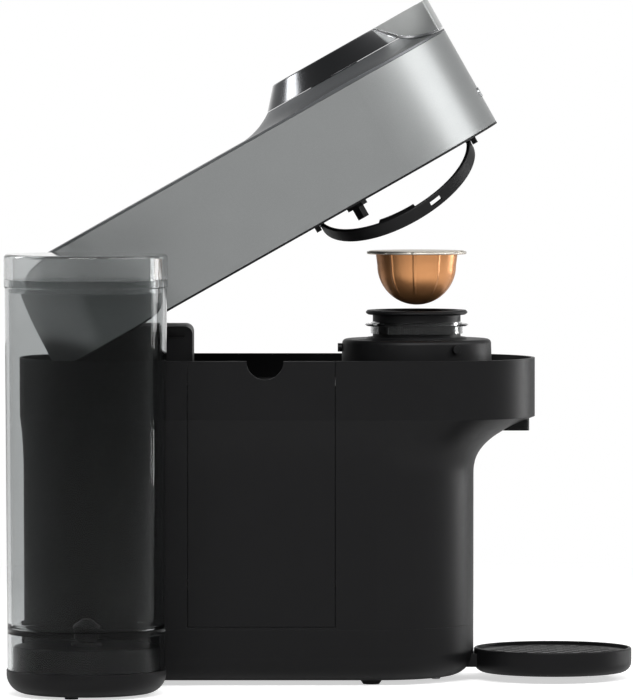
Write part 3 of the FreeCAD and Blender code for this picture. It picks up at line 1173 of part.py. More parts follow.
def body_parts():
    """Pieces of the body and what stands beside it, at rest."""
    outer = lower_form(0.0)
    inner = lower_form(WALL)
    return {
        "base_pan": base_pan(),
        "main_housing": main_housing(outer, inner),
        "deck_plate": deck_plate(),
        "rubber_feet": rubber_feet(),
        "cord_gland": cord_gland(),
        "hinge_pedestal": hinge_pedestal(),
        "hinge_bushes": hinge_bushes(),
        "brew_base": brew_base(),
        "bayonet_pins": Part.makeCompound(bayonet_rods()),
        "spindle_bearing": bearing(DECK_TOP_Z, BEARING_RADIUS, SPINDLE_RADIUS + RUNNING_GAP),
        "drive_motor": drive_motor(),
        "water_pump": water_pump(),
        "flow_meter": flow_meter(),
        "heater_block": heater_block(),
        "control_board": control_board(),
        "suction_hose": suction_hose(),
        "pressure_hose": pressure_hose(),
        "coffee_duct": coffee_duct(),
        "coffee_outlet": coffee_outlet(outer),
        "pod_holder": pod_holder(),
        "holder_ring": holder_ring(),
        "drive_spindle": drive_spindle(),
        "pod_shell": raised(pod_shell(), POD_RAISED),
        "pod_foil": raised(pod_foil(), POD_RAISED),
        "used_pod_bin": used_pod_bin(outer, inner),
        "tank_base": tank_base(),
        "tank_feet": tank_feet(),
        "tank_coupling": tank_coupling(),
        "water_tank": water_tank(),
        "tank_valve": tank_valve(),
        "tank_lid": tank_lid(),
        "cup_tray": cup_tray(),
        "cup_grid": cup_grid(),
    }


def head_parts():
    """Pieces of the head, drawn shut."""
    return {
        "head_sleeve": head_sleeve(),
        "head_cover": head_cover(),
        "head_belly": head_belly(),
        "hinge_pin": hinge_pin(),
        "lever_bush": lever_bush(),
        "button_board": button_board(),
        "brew_button": brew_button(),
        "lever_disc": lever_disc(),
        "lever_handle": lever_handle(),
        "lever_trim": lever_trim(),
        "lock_carrier": lock_carrier(),
        "ring_pins": ring_pins(),
        "lock_ring": tip_ring(lock_ring()),
        "injector_plate": injector_plate(),
        "pod_seal": pod_seal(),
        "injector_bearing": bearing(CARRIER_Z, HUB_BORE, INJECTOR_SHAFT + RUNNING_GAP),
    }


def main():
    parts = body_parts()
    for name, shape in head_parts().items():
        parts[name] = swing_open(shape)
    whole = FreeCAD.BoundBox()
    for shape in parts.values():
        whole.add(shape.optimalBoundingBox(False, False))
    to_origin = vec(-whole.Center.x, -whole.Center.y, -whole.ZMin)
    print("moved to the bottom centre by", to_origin)
    os.makedirs("parts", exist_ok=True)
    for name, shape in parts.items():
        shape.translate(to_origin)
        shape.exportStep(f"parts/{name}.step")


main()
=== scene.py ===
"""Looks of a pod coffee machine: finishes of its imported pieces, screws, studio light and camera."""

from __future__ import annotations

import logging
import math
from dataclasses import dataclass, field
from enum import Enum

import bmesh
import bpy
from mathutils import Matrix, Vector


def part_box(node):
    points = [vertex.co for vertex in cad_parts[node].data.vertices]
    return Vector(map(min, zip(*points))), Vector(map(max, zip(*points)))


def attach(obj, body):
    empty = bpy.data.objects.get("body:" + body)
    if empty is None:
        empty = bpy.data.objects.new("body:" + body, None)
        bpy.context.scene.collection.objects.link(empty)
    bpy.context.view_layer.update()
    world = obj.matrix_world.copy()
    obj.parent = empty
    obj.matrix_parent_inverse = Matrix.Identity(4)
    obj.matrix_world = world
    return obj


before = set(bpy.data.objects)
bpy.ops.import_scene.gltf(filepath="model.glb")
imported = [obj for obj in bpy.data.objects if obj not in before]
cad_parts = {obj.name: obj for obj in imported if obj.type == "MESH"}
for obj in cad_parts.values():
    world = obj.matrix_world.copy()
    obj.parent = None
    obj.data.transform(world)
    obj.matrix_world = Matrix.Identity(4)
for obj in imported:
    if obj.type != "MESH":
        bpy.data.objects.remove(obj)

log = logging.getLogger("coffee_machine")

MM = 0.001
WHITE = "ffffff"

# Octaves of finer noise in a pattern: a tool's grain, a soft flow ripple and a polished face
FINE_OCTAVES = 3.0
SOFT_OCTAVES = 1.0
NO_OCTAVES = 0.0

Colour = tuple[float, float, float, float]
Span = tuple[float, float]
Tree = bpy.types.NodeTree
Socket = bpy.types.NodeSocket


class Grain(Enum):
    """How the surface of a moulded or worked piece was left by its tool."""

    SPARK_ERODED = "spark-eroded"
    TURNED = "turned about Z"
    POLISHED = "polished"


class LampRole(Enum):
    """What a studio lamp is there for."""

    FRONT = "front softbox"
    RIGHT = "right softbox"
    EDGE = "edge strip"
    LEFT = "left softbox"
    WASH = "floor wash"


def linear(code: str) -> Colour:
    """Turn an sRGB hex code into a linear colour.

    Args:
        code: Six hex digits, red first.

    Returns:
        Linear red, green and blue, and full alpha.
    """
    parts = [int(code[i:i + 2], 16) / 255 for i in (0, 2, 4)]
    bent = [c / 12.92 if c <= 0.04045 else ((c + 0.055) / 1.055) ** 2.4 for c in parts]
    return bent[0], bent[1], bent[2], 1.0


def add_node(tree: Tree, kind: str, inputs: dict | None = None, **settings: object) -> bpy.types.Node:
    """Add one shader node with its settings and links.

    Args:
        tree: Node tree that gets the node.
        kind: Blender's type name of the node.
        inputs: Values or output sockets by input name or number.
        **settings: Properties of the node itself.

    Returns:
        The new node.
    """
    node = tree.nodes.new(kind)
    for name, value in settings.items():
        setattr(node, name, value)
    for name, value in (inputs or {}).items():
        if isinstance(value, Socket):
            tree.links.new(value, node.inputs[name])
        else:
            node.inputs[name].default_value = value
    return node


@dataclass(frozen=True)
class Finish:
    """A real material with the process that finished it."""

    name: str
    colour: str
    roughness: float
    grain: Grain = Grain.SPARK_ERODED
    grain_mm: float = 0.35
    grain_depth_mm: float = 0.012
    grain_strength: float = 0.5
    turned_stretch: float = 0.05
    mottle: float = 0.12
    mottle_mm: float = 24.0
    sheen: Span = (0.88, 1.12)
    sheen_mm: float = 6.0
    edge_mm: float = 0.5
    metallic: float = 0.0
    specular: float = 0.5

    def material(self) -> bpy.types.Material:
        """Make the Blender material on first use.

        Returns:
            The material with the finish's nodes.
        """
        made = bpy.data.materials.get(self.name)
        if made is not None:
            return made
        made = bpy.data.materials.new(self.name)
        made.use_nodes = True
        made.node_tree.nodes.clear()
        made.diffuse_color = linear(self.colour)
        shader = self.shade(made.node_tree)
        add_node(made.node_tree, "ShaderNodeOutputMaterial", {"Surface": shader})
        return made

    def place(self, tree: Tree) -> Socket:
        """Return surface coordinates in metres, drawn out along the grain.

        Args:
            tree: Node tree that is being filled.

        Returns:
            Output socket with the coordinates.
        """
        where = add_node(tree, "ShaderNodeTexCoord").outputs["Object"]
        if self.grain is not Grain.TURNED:
            return where
        scale = (self.turned_stretch, self.turned_stretch, 1.0)
        return add_node(tree, "ShaderNodeMapping", {"Vector": where, "Scale": scale}).outputs["Vector"]

    def speckle(self, tree: Tree, size_mm: float, octaves: float = FINE_OCTAVES) -> Socket:
        """Return a pattern between 0 and 1 whose features have a real size.

        Args:
            tree: Node tree that is being filled.
            size_mm: Size of one feature in millimetres.
            octaves: Octaves of finer noise.

        Returns:
            Output socket with the pattern.
        """
        noise = add_node(tree, "ShaderNodeTexNoise", {
            "Vector": self.place(tree), "Scale": 1.0 / (size_mm * MM), "Detail": octaves})
        return noise.outputs["Fac"]

    def mottled(self, tree: Tree, colour: Colour | Socket) -> Socket:
        """Return a colour that is lighter and darker in soft patches.

        Args:
            tree: Node tree that is being filled.
            colour: The even colour.

        Returns:
            Output socket with the mottled colour.
        """
        patches = add_node(tree, "ShaderNodeMapRange", {
            "Value": self.speckle(tree, self.mottle_mm), "To Min": 1.0 - self.mottle,
            "To Max": 1.0 + self.mottle})
        worn = add_node(tree, "ShaderNodeHueSaturation", {
            "Value": patches.outputs["Result"], "Color": colour})
        return worn.outputs["Color"]

    def gloss(self, tree: Tree) -> Socket:
        """Return a roughness that varies a little over the surface.

        Args:
            tree: Node tree that is being filled.

        Returns:
            Output socket with the roughness.
        """
        low, high = self.sheen
        varied = add_node(tree, "ShaderNodeMapRange", {
            "Value": self.speckle(tree, self.sheen_mm), "To Min": self.roughness * low,
            "To Max": self.roughness * high})
        return varied.outputs["Result"]

    def relief(self, tree: Tree) -> Socket:
        """Return the surface normal with softened edges and the tool's grain.

        Args:
            tree: Node tree that is being filled.

        Returns:
            Output socket with the normal.
        """
        octaves = NO_OCTAVES if self.grain is Grain.POLISHED else FINE_OCTAVES
        soft = add_node(tree, "ShaderNodeBevel", {"Radius": self.edge_mm * MM}, samples=4)
        bump = add_node(tree, "ShaderNodeBump", {
            "Strength": self.grain_strength, "Distance": self.grain_depth_mm * MM,
            "Height": self.speckle(tree, self.grain_mm, octaves), "Normal": soft.outputs["Normal"]})
        return bump.outputs["Normal"]

    def shade(self, tree: Tree) -> Socket:
        """Build the shader.

        Args:
            tree: Node tree that is being filled.

        Returns:
            Output socket of the shader.
        """
        bsdf = add_node(tree, "ShaderNodeBsdfPrincipled", {
            "Base Color": self.mottled(tree, linear(self.colour)), "Roughness": self.gloss(tree),
            "Metallic": self.metallic, "Specular IOR Level": self.specular,
            "Normal": self.relief(tree)})
        return bsdf.outputs["BSDF"]


@dataclass(frozen=True)
class MetallicPaint(Finish):
    """Sprayed paint with metal flakes under a satin clear coat."""

    grain_mm: float = 0.25
    grain_depth_mm: float = 0.004
    sheen: Span = (0.93, 1.07)
    sheen_mm: float = 18.0
    coat: float = 0.1
    coat_roughness: float = 0.25
    flake_mm: float = 0.16
    flake_depth: float = 0.1

    def shade(self, tree: Tree) -> Socket:
        """Build the shader, with flakes that differ in brightness.

        Args:
            tree: Node tree that is being filled.

        Returns:
            Output socket of the shader.
        """
        flakes = add_node(tree, "ShaderNodeTexVoronoi", {
            "Vector": self.place(tree), "Scale": 1.0 / (self.flake_mm * MM)})
        glint = add_node(tree, "ShaderNodeRGBToBW", {"Color": flakes.outputs["Color"]})
        bright = add_node(tree, "ShaderNodeMapRange", {
            "Value": glint.outputs["Val"], "To Min": 1.0 - self.flake_depth,
            "To Max": 1.0 + self.flake_depth})
        base = add_node(tree, "ShaderNodeHueSaturation", {
            "Value": bright.outputs["Result"], "Color": linear(self.colour)})
        bsdf = add_node(tree, "ShaderNodeBsdfPrincipled", {
            "Base Color": base.outputs["Color"], "Roughness": self.gloss(tree),
            "Metallic": self.metallic, "Coat Weight": self.coat,
            "Coat Roughness": self.coat_roughness, "Normal": self.relief(tree)})
        return bsdf.outputs["BSDF"]


@dataclass(frozen=True)
class ClearPlastic(Finish):
    """Injection-moulded clear polymer with a faint flow ripple."""

    grain: Grain = Grain.POLISHED
    grain_mm: float = 30.0
    grain_depth_mm: float = 0.02
    grain_strength: float = 0.25
    mottle_mm: float = 60.0
    sheen: Span = (0.5, 1.5)
    sheen_mm: float = 30.0
    ior: float = 1.4
    clarity: float = 1.0
    pale_step: int = 8

    def relief(self, tree: Tree) -> Socket:
        """Return the surface normal with the flow ripple.

        Args:
            tree: Node tree that is being filled.

        Returns:
            Output socket with the normal.
        """
        bump = add_node(tree, "ShaderNodeBump", {
            "Strength": self.grain_strength, "Distance": self.grain_depth_mm * MM,
            "Height": self.speckle(tree, self.grain_mm, SOFT_OCTAVES)})
        return bump.outputs["Normal"]

    def shade(self, tree: Tree) -> Socket:
        """Build the shader of a see-through wall.

        Args:
            tree: Node tree that is being filled.

        Returns:
            Output socket of the shader.
        """
        cloud = self.speckle(tree, self.mottle_mm, SOFT_OCTAVES)
        base = add_node(tree, "ShaderNodeMix", {
            0: cloud, 6: linear(self.colour), 7: linear(self.paler())}, data_type="RGBA")
        bsdf = add_node(tree, "ShaderNodeBsdfPrincipled", {
            "Base Color": base.outputs[2], "Roughness": self.gloss(tree), "IOR": self.ior,
            "Transmission Weight": self.clarity, "Normal": self.relief(tree)})
        return bsdf.outputs["BSDF"]

    def paler(self) -> str:
        """Return the colour a little nearer to white."""
        parts = [int(self.colour[i:i + 2], 16) for i in (0, 2, 4)]
        return "".join(f"{min(255, part + self.pale_step):02x}" for part in parts)


@dataclass(frozen=True)
class LacquerFoil(Finish):
    """Deep-drawn aluminium with a coloured lacquer that stops at a bare rim."""

    grain: Grain = Grain.POLISHED
    mottle: float = 0.03
    mottle_mm: float = 4.0
    sheen: Span = (0.85, 1.2)
    sheen_mm: float = 2.0
    node: str = "pod_shell"
    bare: str = "c9c4ba"
    rim_mm: float = 1.6
    rim_fade_mm: float = 0.4
    dome_mm: float = 26.8
    shoulder_mm: float = 3.5
    wall_lean: float = 0.13
    rib_count: int = 10
    rib_turn_deg: float = 266.0
    rib_width_deg: float = 7.0
    rib_height_mm: float = 0.6
    rib_drop_mm: float = 18.0
    rib_fade_mm: float = 2.0

    def ribs(self, tree: Tree, axes: bpy.types.Node) -> Socket:
        """Return the height of the ribs, rounded across and fading out on the dome.

        Args:
            tree: Node tree that is being filled.
            axes: Node with the distances from the middle of the dome.

        Returns:
            Output socket with the height in metres.
        """
        turn = add_node(tree, "ShaderNodeMath", {
            0: axes.outputs["Y"], 1: axes.outputs["X"]}, operation="ARCTAN2")
        share = add_node(tree, "ShaderNodeMath", {
            0: turn.outputs[0], 1: self.rib_count / (2 * math.pi),
            2: 0.5 - self.rib_count * self.rib_turn_deg / 360}, operation="MULTIPLY_ADD")
        part = add_node(tree, "ShaderNodeMath", {0: share.outputs[0]}, operation="FRACT")
        signed = add_node(tree, "ShaderNodeMath", {0: part.outputs[0], 1: 0.5}, operation="SUBTRACT")
        off = add_node(tree, "ShaderNodeMath", {0: signed.outputs[0]}, operation="ABSOLUTE")
        half_rib = self.rib_width_deg / 2 / (360 / self.rib_count)
        ridge = add_node(tree, "ShaderNodeMapRange", {
            "Value": off.outputs[0], "From Max": half_rib, "To Min": self.rib_height_mm * MM,
            "To Max": 0.0}, interpolation_type="SMOOTHSTEP")
        tall = add_node(tree, "ShaderNodeMapRange", {
            "Value": axes.outputs["Z"], "From Min": -(self.rib_drop_mm + self.rib_fade_mm) * MM,
            "From Max": -self.rib_drop_mm * MM}, interpolation_type="SMOOTHSTEP")
        rib = add_node(tree, "ShaderNodeMath", {
            0: ridge.outputs[0], 1: tall.outputs[0]}, operation="MULTIPLY")
        return rib.outputs[0]

    def relief(self, tree: Tree) -> Socket:
        """Return the surface normal with rounded ribs and a soft shoulder above the dome.

        Args:
            tree: Node tree that is being filled.

        Returns:
            Output socket with the normal.
        """
        low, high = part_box(self.node)
        middle = ((low.x + high.x) / 2, (low.y + high.y) / 2, low.z + self.dome_mm * MM)
        where = add_node(tree, "ShaderNodeTexCoord").outputs["Object"]
        centred = add_node(tree, "ShaderNodeVectorMath", {0: where, 1: middle}, operation="SUBTRACT")
        axes = add_node(tree, "ShaderNodeSeparateXYZ", {"Vector": centred.outputs["Vector"]})
        # The wall leans out where it leaves the dome; a curve of u - u * u / 2 carries that lean
        # on below the edge until the dome has it too
        below = add_node(tree, "ShaderNodeMapRange", {
            "Value": axes.outputs["Z"], "From Min": 0.0,
            "From Max": -self.shoulder_mm * MM}).outputs["Result"]
        slack = add_node(tree, "ShaderNodeMath", {0: below, 1: -0.5, 2: 1.0}, operation="MULTIPLY_ADD")
        drop = add_node(tree, "ShaderNodeMath", {0: below, 1: slack.outputs[0]}, operation="MULTIPLY")
        height = add_node(tree, "ShaderNodeMath", {
            0: drop.outputs[0], 1: -self.shoulder_mm * self.wall_lean * MM, 2: self.ribs(tree, axes)},
            operation="MULTIPLY_ADD")
        bump = add_node(tree, "ShaderNodeBump", {
            "Strength": 1.0, "Distance": 1.0, "Height": height.outputs[0]})
        return bump.outputs["Normal"]

    def shade(self, tree: Tree) -> Socket:
        """Build the shader, lacquered below the rim and bare above.

        Args:
            tree: Node tree that is being filled.

        Returns:
            Output socket of the shader.
        """
        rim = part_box(self.node)[1].z - self.rim_mm * MM
        where = add_node(tree, "ShaderNodeTexCoord").outputs["Object"]
        height = add_node(tree, "ShaderNodeSeparateXYZ", {"Vector": where}).outputs["Z"]
        edge = add_node(tree, "ShaderNodeMapRange", {
            "Value": height, "From Min": rim - self.rim_fade_mm * MM, "From Max": rim})
        base = add_node(tree, "ShaderNodeMix", {
            0: edge.outputs["Result"], 6: linear(self.colour), 7: linear(self.bare)}, data_type="RGBA")
        bsdf = add_node(tree, "ShaderNodeBsdfPrincipled", {
            "Base Color": self.mottled(tree, base.outputs[2]), "Roughness": self.gloss(tree),
            "Metallic": self.metallic, "Normal": self.relief(tree)})
        return bsdf.outputs["BSDF"]


# ABS, injection moulded against a spark-eroded tool: deep black with a soft, wide sheen and a fine
# even grain. The real grain is about 0.1 mm; it is drawn at 0.35 mm so that it shows.
BODY_BLACK = Finish("abs_black_spark_eroded", "0f0f10", 0.42, specular=0.16)
# Glass-filled nylon, moulded against a coarser tool: duller than the body, with a grain drawn
# larger than the real 0.2 mm.
INNER_BLACK = Finish(
    "nylon_black_moulded", "0f0f10", 0.46, grain_mm=0.5, grain_depth_mm=0.02, specular=0.2)
# Drawn steel, sprayed with satin metallic paint: even silver grey with a broad soft highlight.
# Flakes are about 0.03 mm; here and below they are drawn at 0.16 mm so that the sparkle shows.
HEAD_GREY = MetallicPaint("steel_satin_metallic_paint", "8d8f8f", 0.38, metallic=0.6)
# ABS, sprayed with dark metallic paint: gunmetal with a stronger sparkle than the sleeve.
COVER_GUNMETAL = MetallicPaint(
    "abs_dark_metallic_paint", "5c5e60", 0.4, metallic=0.75, flake_depth=0.14)
# Die-cast zinc, polished and dark plated: a dark mirror that is slightly wavy.
DISC_POLISHED = Finish(
    "zinc_dark_plated", "5a5b5d", 0.18, Grain.POLISHED, grain_mm=3.0, grain_depth_mm=0.002,
    mottle=0.04, metallic=1.0)
# Brass strip, bright plated: a thin clear line of light.
BRIGHT_TRIM = Finish(
    "brass_bright_plated", "e4e5e6", 0.12, Grain.POLISHED, grain_mm=3.0, grain_depth_mm=0.002,
    mottle=0.03, edge_mm=0.3, metallic=1.0)
# Die-cast zinc, sprayed with light metallic paint: the palest grey of the head, soft at its edges.
HANDLE_GREY = MetallicPaint("zinc_light_metallic_paint", "b9bbba", 0.36, metallic=0.75, coat=0.15)
# Copolyester, moulded clear with a smoke tint: walls that darken towards their edges, with a faint
# flow ripple. Its real index of 1.57 makes the double walls milky here, so a lower one is used.
SMOKE_CLEAR = ClearPlastic("copolyester_smoke_clear", "c6c8c8", 0.03, grain_mm=40.0, ior=1.16)
# Polycarbonate, moulded clear: bright edges and little colour.
PLAIN_CLEAR = ClearPlastic("polycarbonate_clear", "e6e8e8", 0.03)
# Acrylic, moulded with a lightly frosted face: a thin grey veil over what is behind it.
FROSTED_CLEAR = ClearPlastic("acrylic_frosted", "cfd1d1", 0.05, clarity=0.95)
# Stainless steel, turned: bright with fine rings round the axis, drawn at 0.4 mm instead of 0.1 mm.
STEEL = Finish(
    "stainless_steel_turned", "b8b9bb", 0.24, Grain.TURNED, grain_mm=0.4, grain_depth_mm=0.004,
    mottle=0.08, edge_mm=0.2, metallic=1.0)
# Aluminium, die cast and shot blasted: pale, dull and finely pitted.
CAST_ALUMINIUM = Finish(
    "aluminium_cast_blasted", "c4c5c8", 0.46, grain_mm=0.6, grain_depth_mm=0.03, metallic=1.0)
# Aluminium, deep drawn and lacquered bronze: a warm satin mirror with rounded ribs and a bare rim.
POD_BRONZE = LacquerFoil("aluminium_bronze_lacquer", "cf9260", 0.34, metallic=0.8)
# Aluminium foil, embossed: pale with small dimples that scatter the light.
LID_FOIL = Finish(
    "aluminium_foil_embossed", "cfc6b6", 0.34, grain_mm=1.1, grain_depth_mm=0.05, mottle=0.06,
    metallic=1.0)
# Nitrile rubber, moulded: flat dark grey with almost no highlight.
RUBBER = Finish("nitrile_rubber_moulded", "1b1b1b", 0.78, grain_mm=0.6, grain_depth_mm=0.03)
# Silicone, extruded: milky and soft.
SILICONE = Finish("silicone_extruded", "d9d9d4", 0.5, grain_mm=0.8, grain_depth_mm=0.015)
# Glass-epoxy laminate, coated with solder resist: mottled green with a slight gloss.
BOARD_GREEN = Finish(
    "glass_epoxy_solder_resist", "1f5a34", 0.4, grain_mm=0.9, grain_depth_mm=0.01, mottle=0.25)
# Bronze, sintered: matt gold with fine pores.
BUSH_BRONZE = Finish(
    "bronze_sintered", "b98f4c", 0.4, grain_mm=0.3, grain_depth_mm=0.01, metallic=1.0)
# ABS, metallised: a satin silver key.
KEY_SATIN = Finish(
    "abs_satin_metallised", "a9abac", 0.3, grain_mm=0.3, grain_depth_mm=0.004, mottle=0.05,
    metallic=0.9)


@dataclass
class Screw:
    """Pan-head screw with a six-lobed drive, seen only by its head."""

    head_radius: float = 3.1 * MM
    head_height: float = 1.2 * MM
    # Shares of the head's radius and height, from the seat to the flat top
    head_profile: tuple[Span, ...] = ((1.0, 0.0), (1.0, 0.45), (0.93, 0.8), (0.78, 1.0))
    drive_radius: float = 1.45 * MM
    drive_lobe: float = 0.32 * MM
    drive_depth: float = 0.8 * MM
    drive_chamfer: float = 0.08 * MM
    lobes: int = 6
    sides: int = 36

    def ring(self, radius: float, height: float, lobe: float = 0.0) -> list[Vector]:
        """Return one closed row of points about the screw's axis.

        Args:
            radius: Mean radius of the row.
            height: Height above the seat.
            lobe: Depth of the lobes.

        Returns:
            The points of the row in order.
        """
        row = []
        for step in range(self.sides):
            turn = 2 * math.pi * step / self.sides
            reach = radius + lobe * math.cos(self.lobes * turn)
            row.append(Vector((reach * math.cos(turn), reach * math.sin(turn), height)))
        return row

    def mesh(self, name: str) -> bpy.types.Mesh:
        """Build the head as rows of quads from the seat to the floor of the drive.

        Args:
            name: Name of the mesh.

        Returns:
            The finished mesh.
        """
        top = self.head_height
        rows = [self.ring(wide * self.head_radius, tall * top) for wide, tall in self.head_profile]
        rows += [
            self.ring(self.drive_radius + self.drive_chamfer, top, self.drive_lobe),
            self.ring(self.drive_radius, top - self.drive_chamfer, self.drive_lobe),
            self.ring(self.drive_radius, top - self.drive_depth, self.drive_lobe)]
        work = bmesh.new()
        made = [[work.verts.new(point) for point in row] for row in rows]
        for low, high in zip(made, made[1:]):
            for step in range(self.sides):
                follow = (step + 1) % self.sides
                work.faces.new((low[step], low[follow], high[follow], high[step]))
        work.faces.new(made[-1])
        work.faces.new(list(reversed(made[0])))
        bmesh.ops.recalc_face_normals(work, faces=work.faces)
        mesh = bpy.data.meshes.new(name)
        work.to_mesh(mesh)
        work.free()
        for face in mesh.polygons:
            face.use_smooth = len(face.vertices) == 4
        return mesh

    def drive_in(self, name: str, spot: Vector, outward: Vector, body: str) -> None:
        """Set one screw on a surface and let it ride on a body.

        Args:
            name: Name of the piece.
            spot: Point of the surface under the head.
            outward: Direction out of the surface.
            body: Body that carries the screw.
        """
        piece = bpy.data.objects.new(name, self.mesh(name))
        bpy.context.scene.collection.objects.link(piece)
        upright = outward.to_track_quat("Z", "Y").to_matrix().to_4x4()
        piece.matrix_world = Matrix.Translation(spot) @ upright
        piece.data.materials.append(STEEL.material())
        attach(piece, body)
        log.info("%s rides on %s", name, body)


@dataclass
class SubAssembly:
    """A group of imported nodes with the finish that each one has."""

    title: str = "pieces"
    finishes: dict[str, Finish] = field(default_factory=dict)

    def dress(self) -> None:
        """Give every node of the group its finish."""
        for node, finish in self.finishes.items():
            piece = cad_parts[node]
            piece.data.materials.clear()
            piece.data.materials.append(finish.material())
            log.info("%s: %s in %s", self.title, node, finish.name)

    def build(self) -> None:
        """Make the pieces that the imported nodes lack; most groups have none."""


@dataclass
class Body(SubAssembly):
    """Lower body: pan, housing, deck, hinge pedestal, brew base and what is inside."""

    title: str = "body"
    finishes: dict[str, Finish] = field(default_factory=lambda: {
        "base_pan": BODY_BLACK, "main_housing": BODY_BLACK, "deck_plate": INNER_BLACK,
        "rubber_feet": RUBBER, "cord_gland": INNER_BLACK, "hinge_pedestal": INNER_BLACK,
        "hinge_bushes": BUSH_BRONZE, "brew_base": INNER_BLACK, "bayonet_pins": INNER_BLACK,
        "spindle_bearing": STEEL, "drive_motor": CAST_ALUMINIUM, "water_pump": INNER_BLACK,
        "flow_meter": PLAIN_CLEAR, "heater_block": CAST_ALUMINIUM, "control_board": BOARD_GREEN,
        "suction_hose": SILICONE, "pressure_hose": SILICONE, "coffee_duct": INNER_BLACK,
        "coffee_outlet": BODY_BLACK, "used_pod_bin": BODY_BLACK})
    screw: Screw = field(default_factory=Screw)
    screw_inset: float = 26 * MM
    screw_side: float = 24 * MM

    def build(self) -> None:
        """Set four screws in the flat underside of the pan."""
        low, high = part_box("base_pan")
        middle = (low.y + high.y) / 2
        down = Vector((0, 0, -1))
        for end, x in (("front", high.x - self.screw_inset), ("rear", low.x + self.screw_inset)):
            for side, y in (("left", middle + self.screw_side), ("right", middle - self.screw_side)):
                self.screw.drive_in(f"pan_screw_{end}_{side}", Vector((x, y, low.z)), down, "body")


@dataclass
class PodUnit(SubAssembly):
    """Spinning holder with the pod that is lifted above it."""

    title: str = "pod unit"
    finishes: dict[str, Finish] = field(default_factory=lambda: {
        "pod_holder": INNER_BLACK, "holder_ring": PLAIN_CLEAR, "drive_spindle": STEEL,
        "pod_shell": POD_BRONZE, "pod_foil": LID_FOIL})


@dataclass
class Head(SubAssembly):
    """Hinged head: sleeve, cover, belly plate and brew button."""

    title: str = "head"
    finishes: dict[str, Finish] = field(default_factory=lambda: {
        "head_sleeve": HEAD_GREY, "head_cover": COVER_GUNMETAL, "head_belly": INNER_BLACK,
        "hinge_pin": STEEL, "lever_bush": BUSH_BRONZE, "button_board": BOARD_GREEN,
        "brew_button": KEY_SATIN})


@dataclass
class Lever(SubAssembly):
    """Lock lever with its carrier, the bayonet ring and the injector."""

    title: str = "lever"
    finishes: dict[str, Finish] = field(default_factory=lambda: {
        "lever_disc": DISC_POLISHED, "lever_handle": HANDLE_GREY, "lever_trim": BRIGHT_TRIM,
        "lock_carrier": INNER_BLACK, "ring_pins": STEEL, "lock_ring": INNER_BLACK,
        "injector_plate": INNER_BLACK, "pod_seal": RUBBER, "injector_bearing": STEEL})


@dataclass
class Tank(SubAssembly):
    """Swivelling water tank with its base and lid."""

    title: str = "tank"
    finishes: dict[str, Finish] = field(default_factory=lambda: {
        "tank_base": BODY_BLACK, "tank_feet": RUBBER, "tank_coupling": INNER_BLACK,
        "water_tank": SMOKE_CLEAR, "tank_valve": INNER_BLACK, "tank_lid": FROSTED_CLEAR})


@dataclass
class Tray(SubAssembly):
    """Round drip tray and its perforated plate."""

    title: str = "tray"
    finishes: dict[str, Finish] = field(default_factory=lambda: {
        "cup_tray": BODY_BLACK, "cup_grid": INNER_BLACK})


@dataclass
class Lamp:
    """One soft area lamp aimed at the object."""

    role: LampRole
    spot: tuple[float, float, float]
    size: Span
    watts: float
    target: tuple[float, float, float] = (0.0, 0.05, 0.2)

    def hang(self) -> None:
        """Put the lamp in the scene."""
        data = bpy.data.lights.new(self.role.value, "AREA")
        data.shape = "RECTANGLE"
        data.size, data.size_y = self.size
        data.energy = self.watts
        lamp = bpy.data.objects.new(self.role.value, data)
        lamp.location = self.spot
        aim = Vector(self.target) - Vector(self.spot)
        lamp.rotation_euler = aim.to_track_quat("-Z", "Y").to_euler()
        bpy.context.scene.collection.objects.link(lamp)
        log.info("%s of %g W", self.role.value, self.watts)


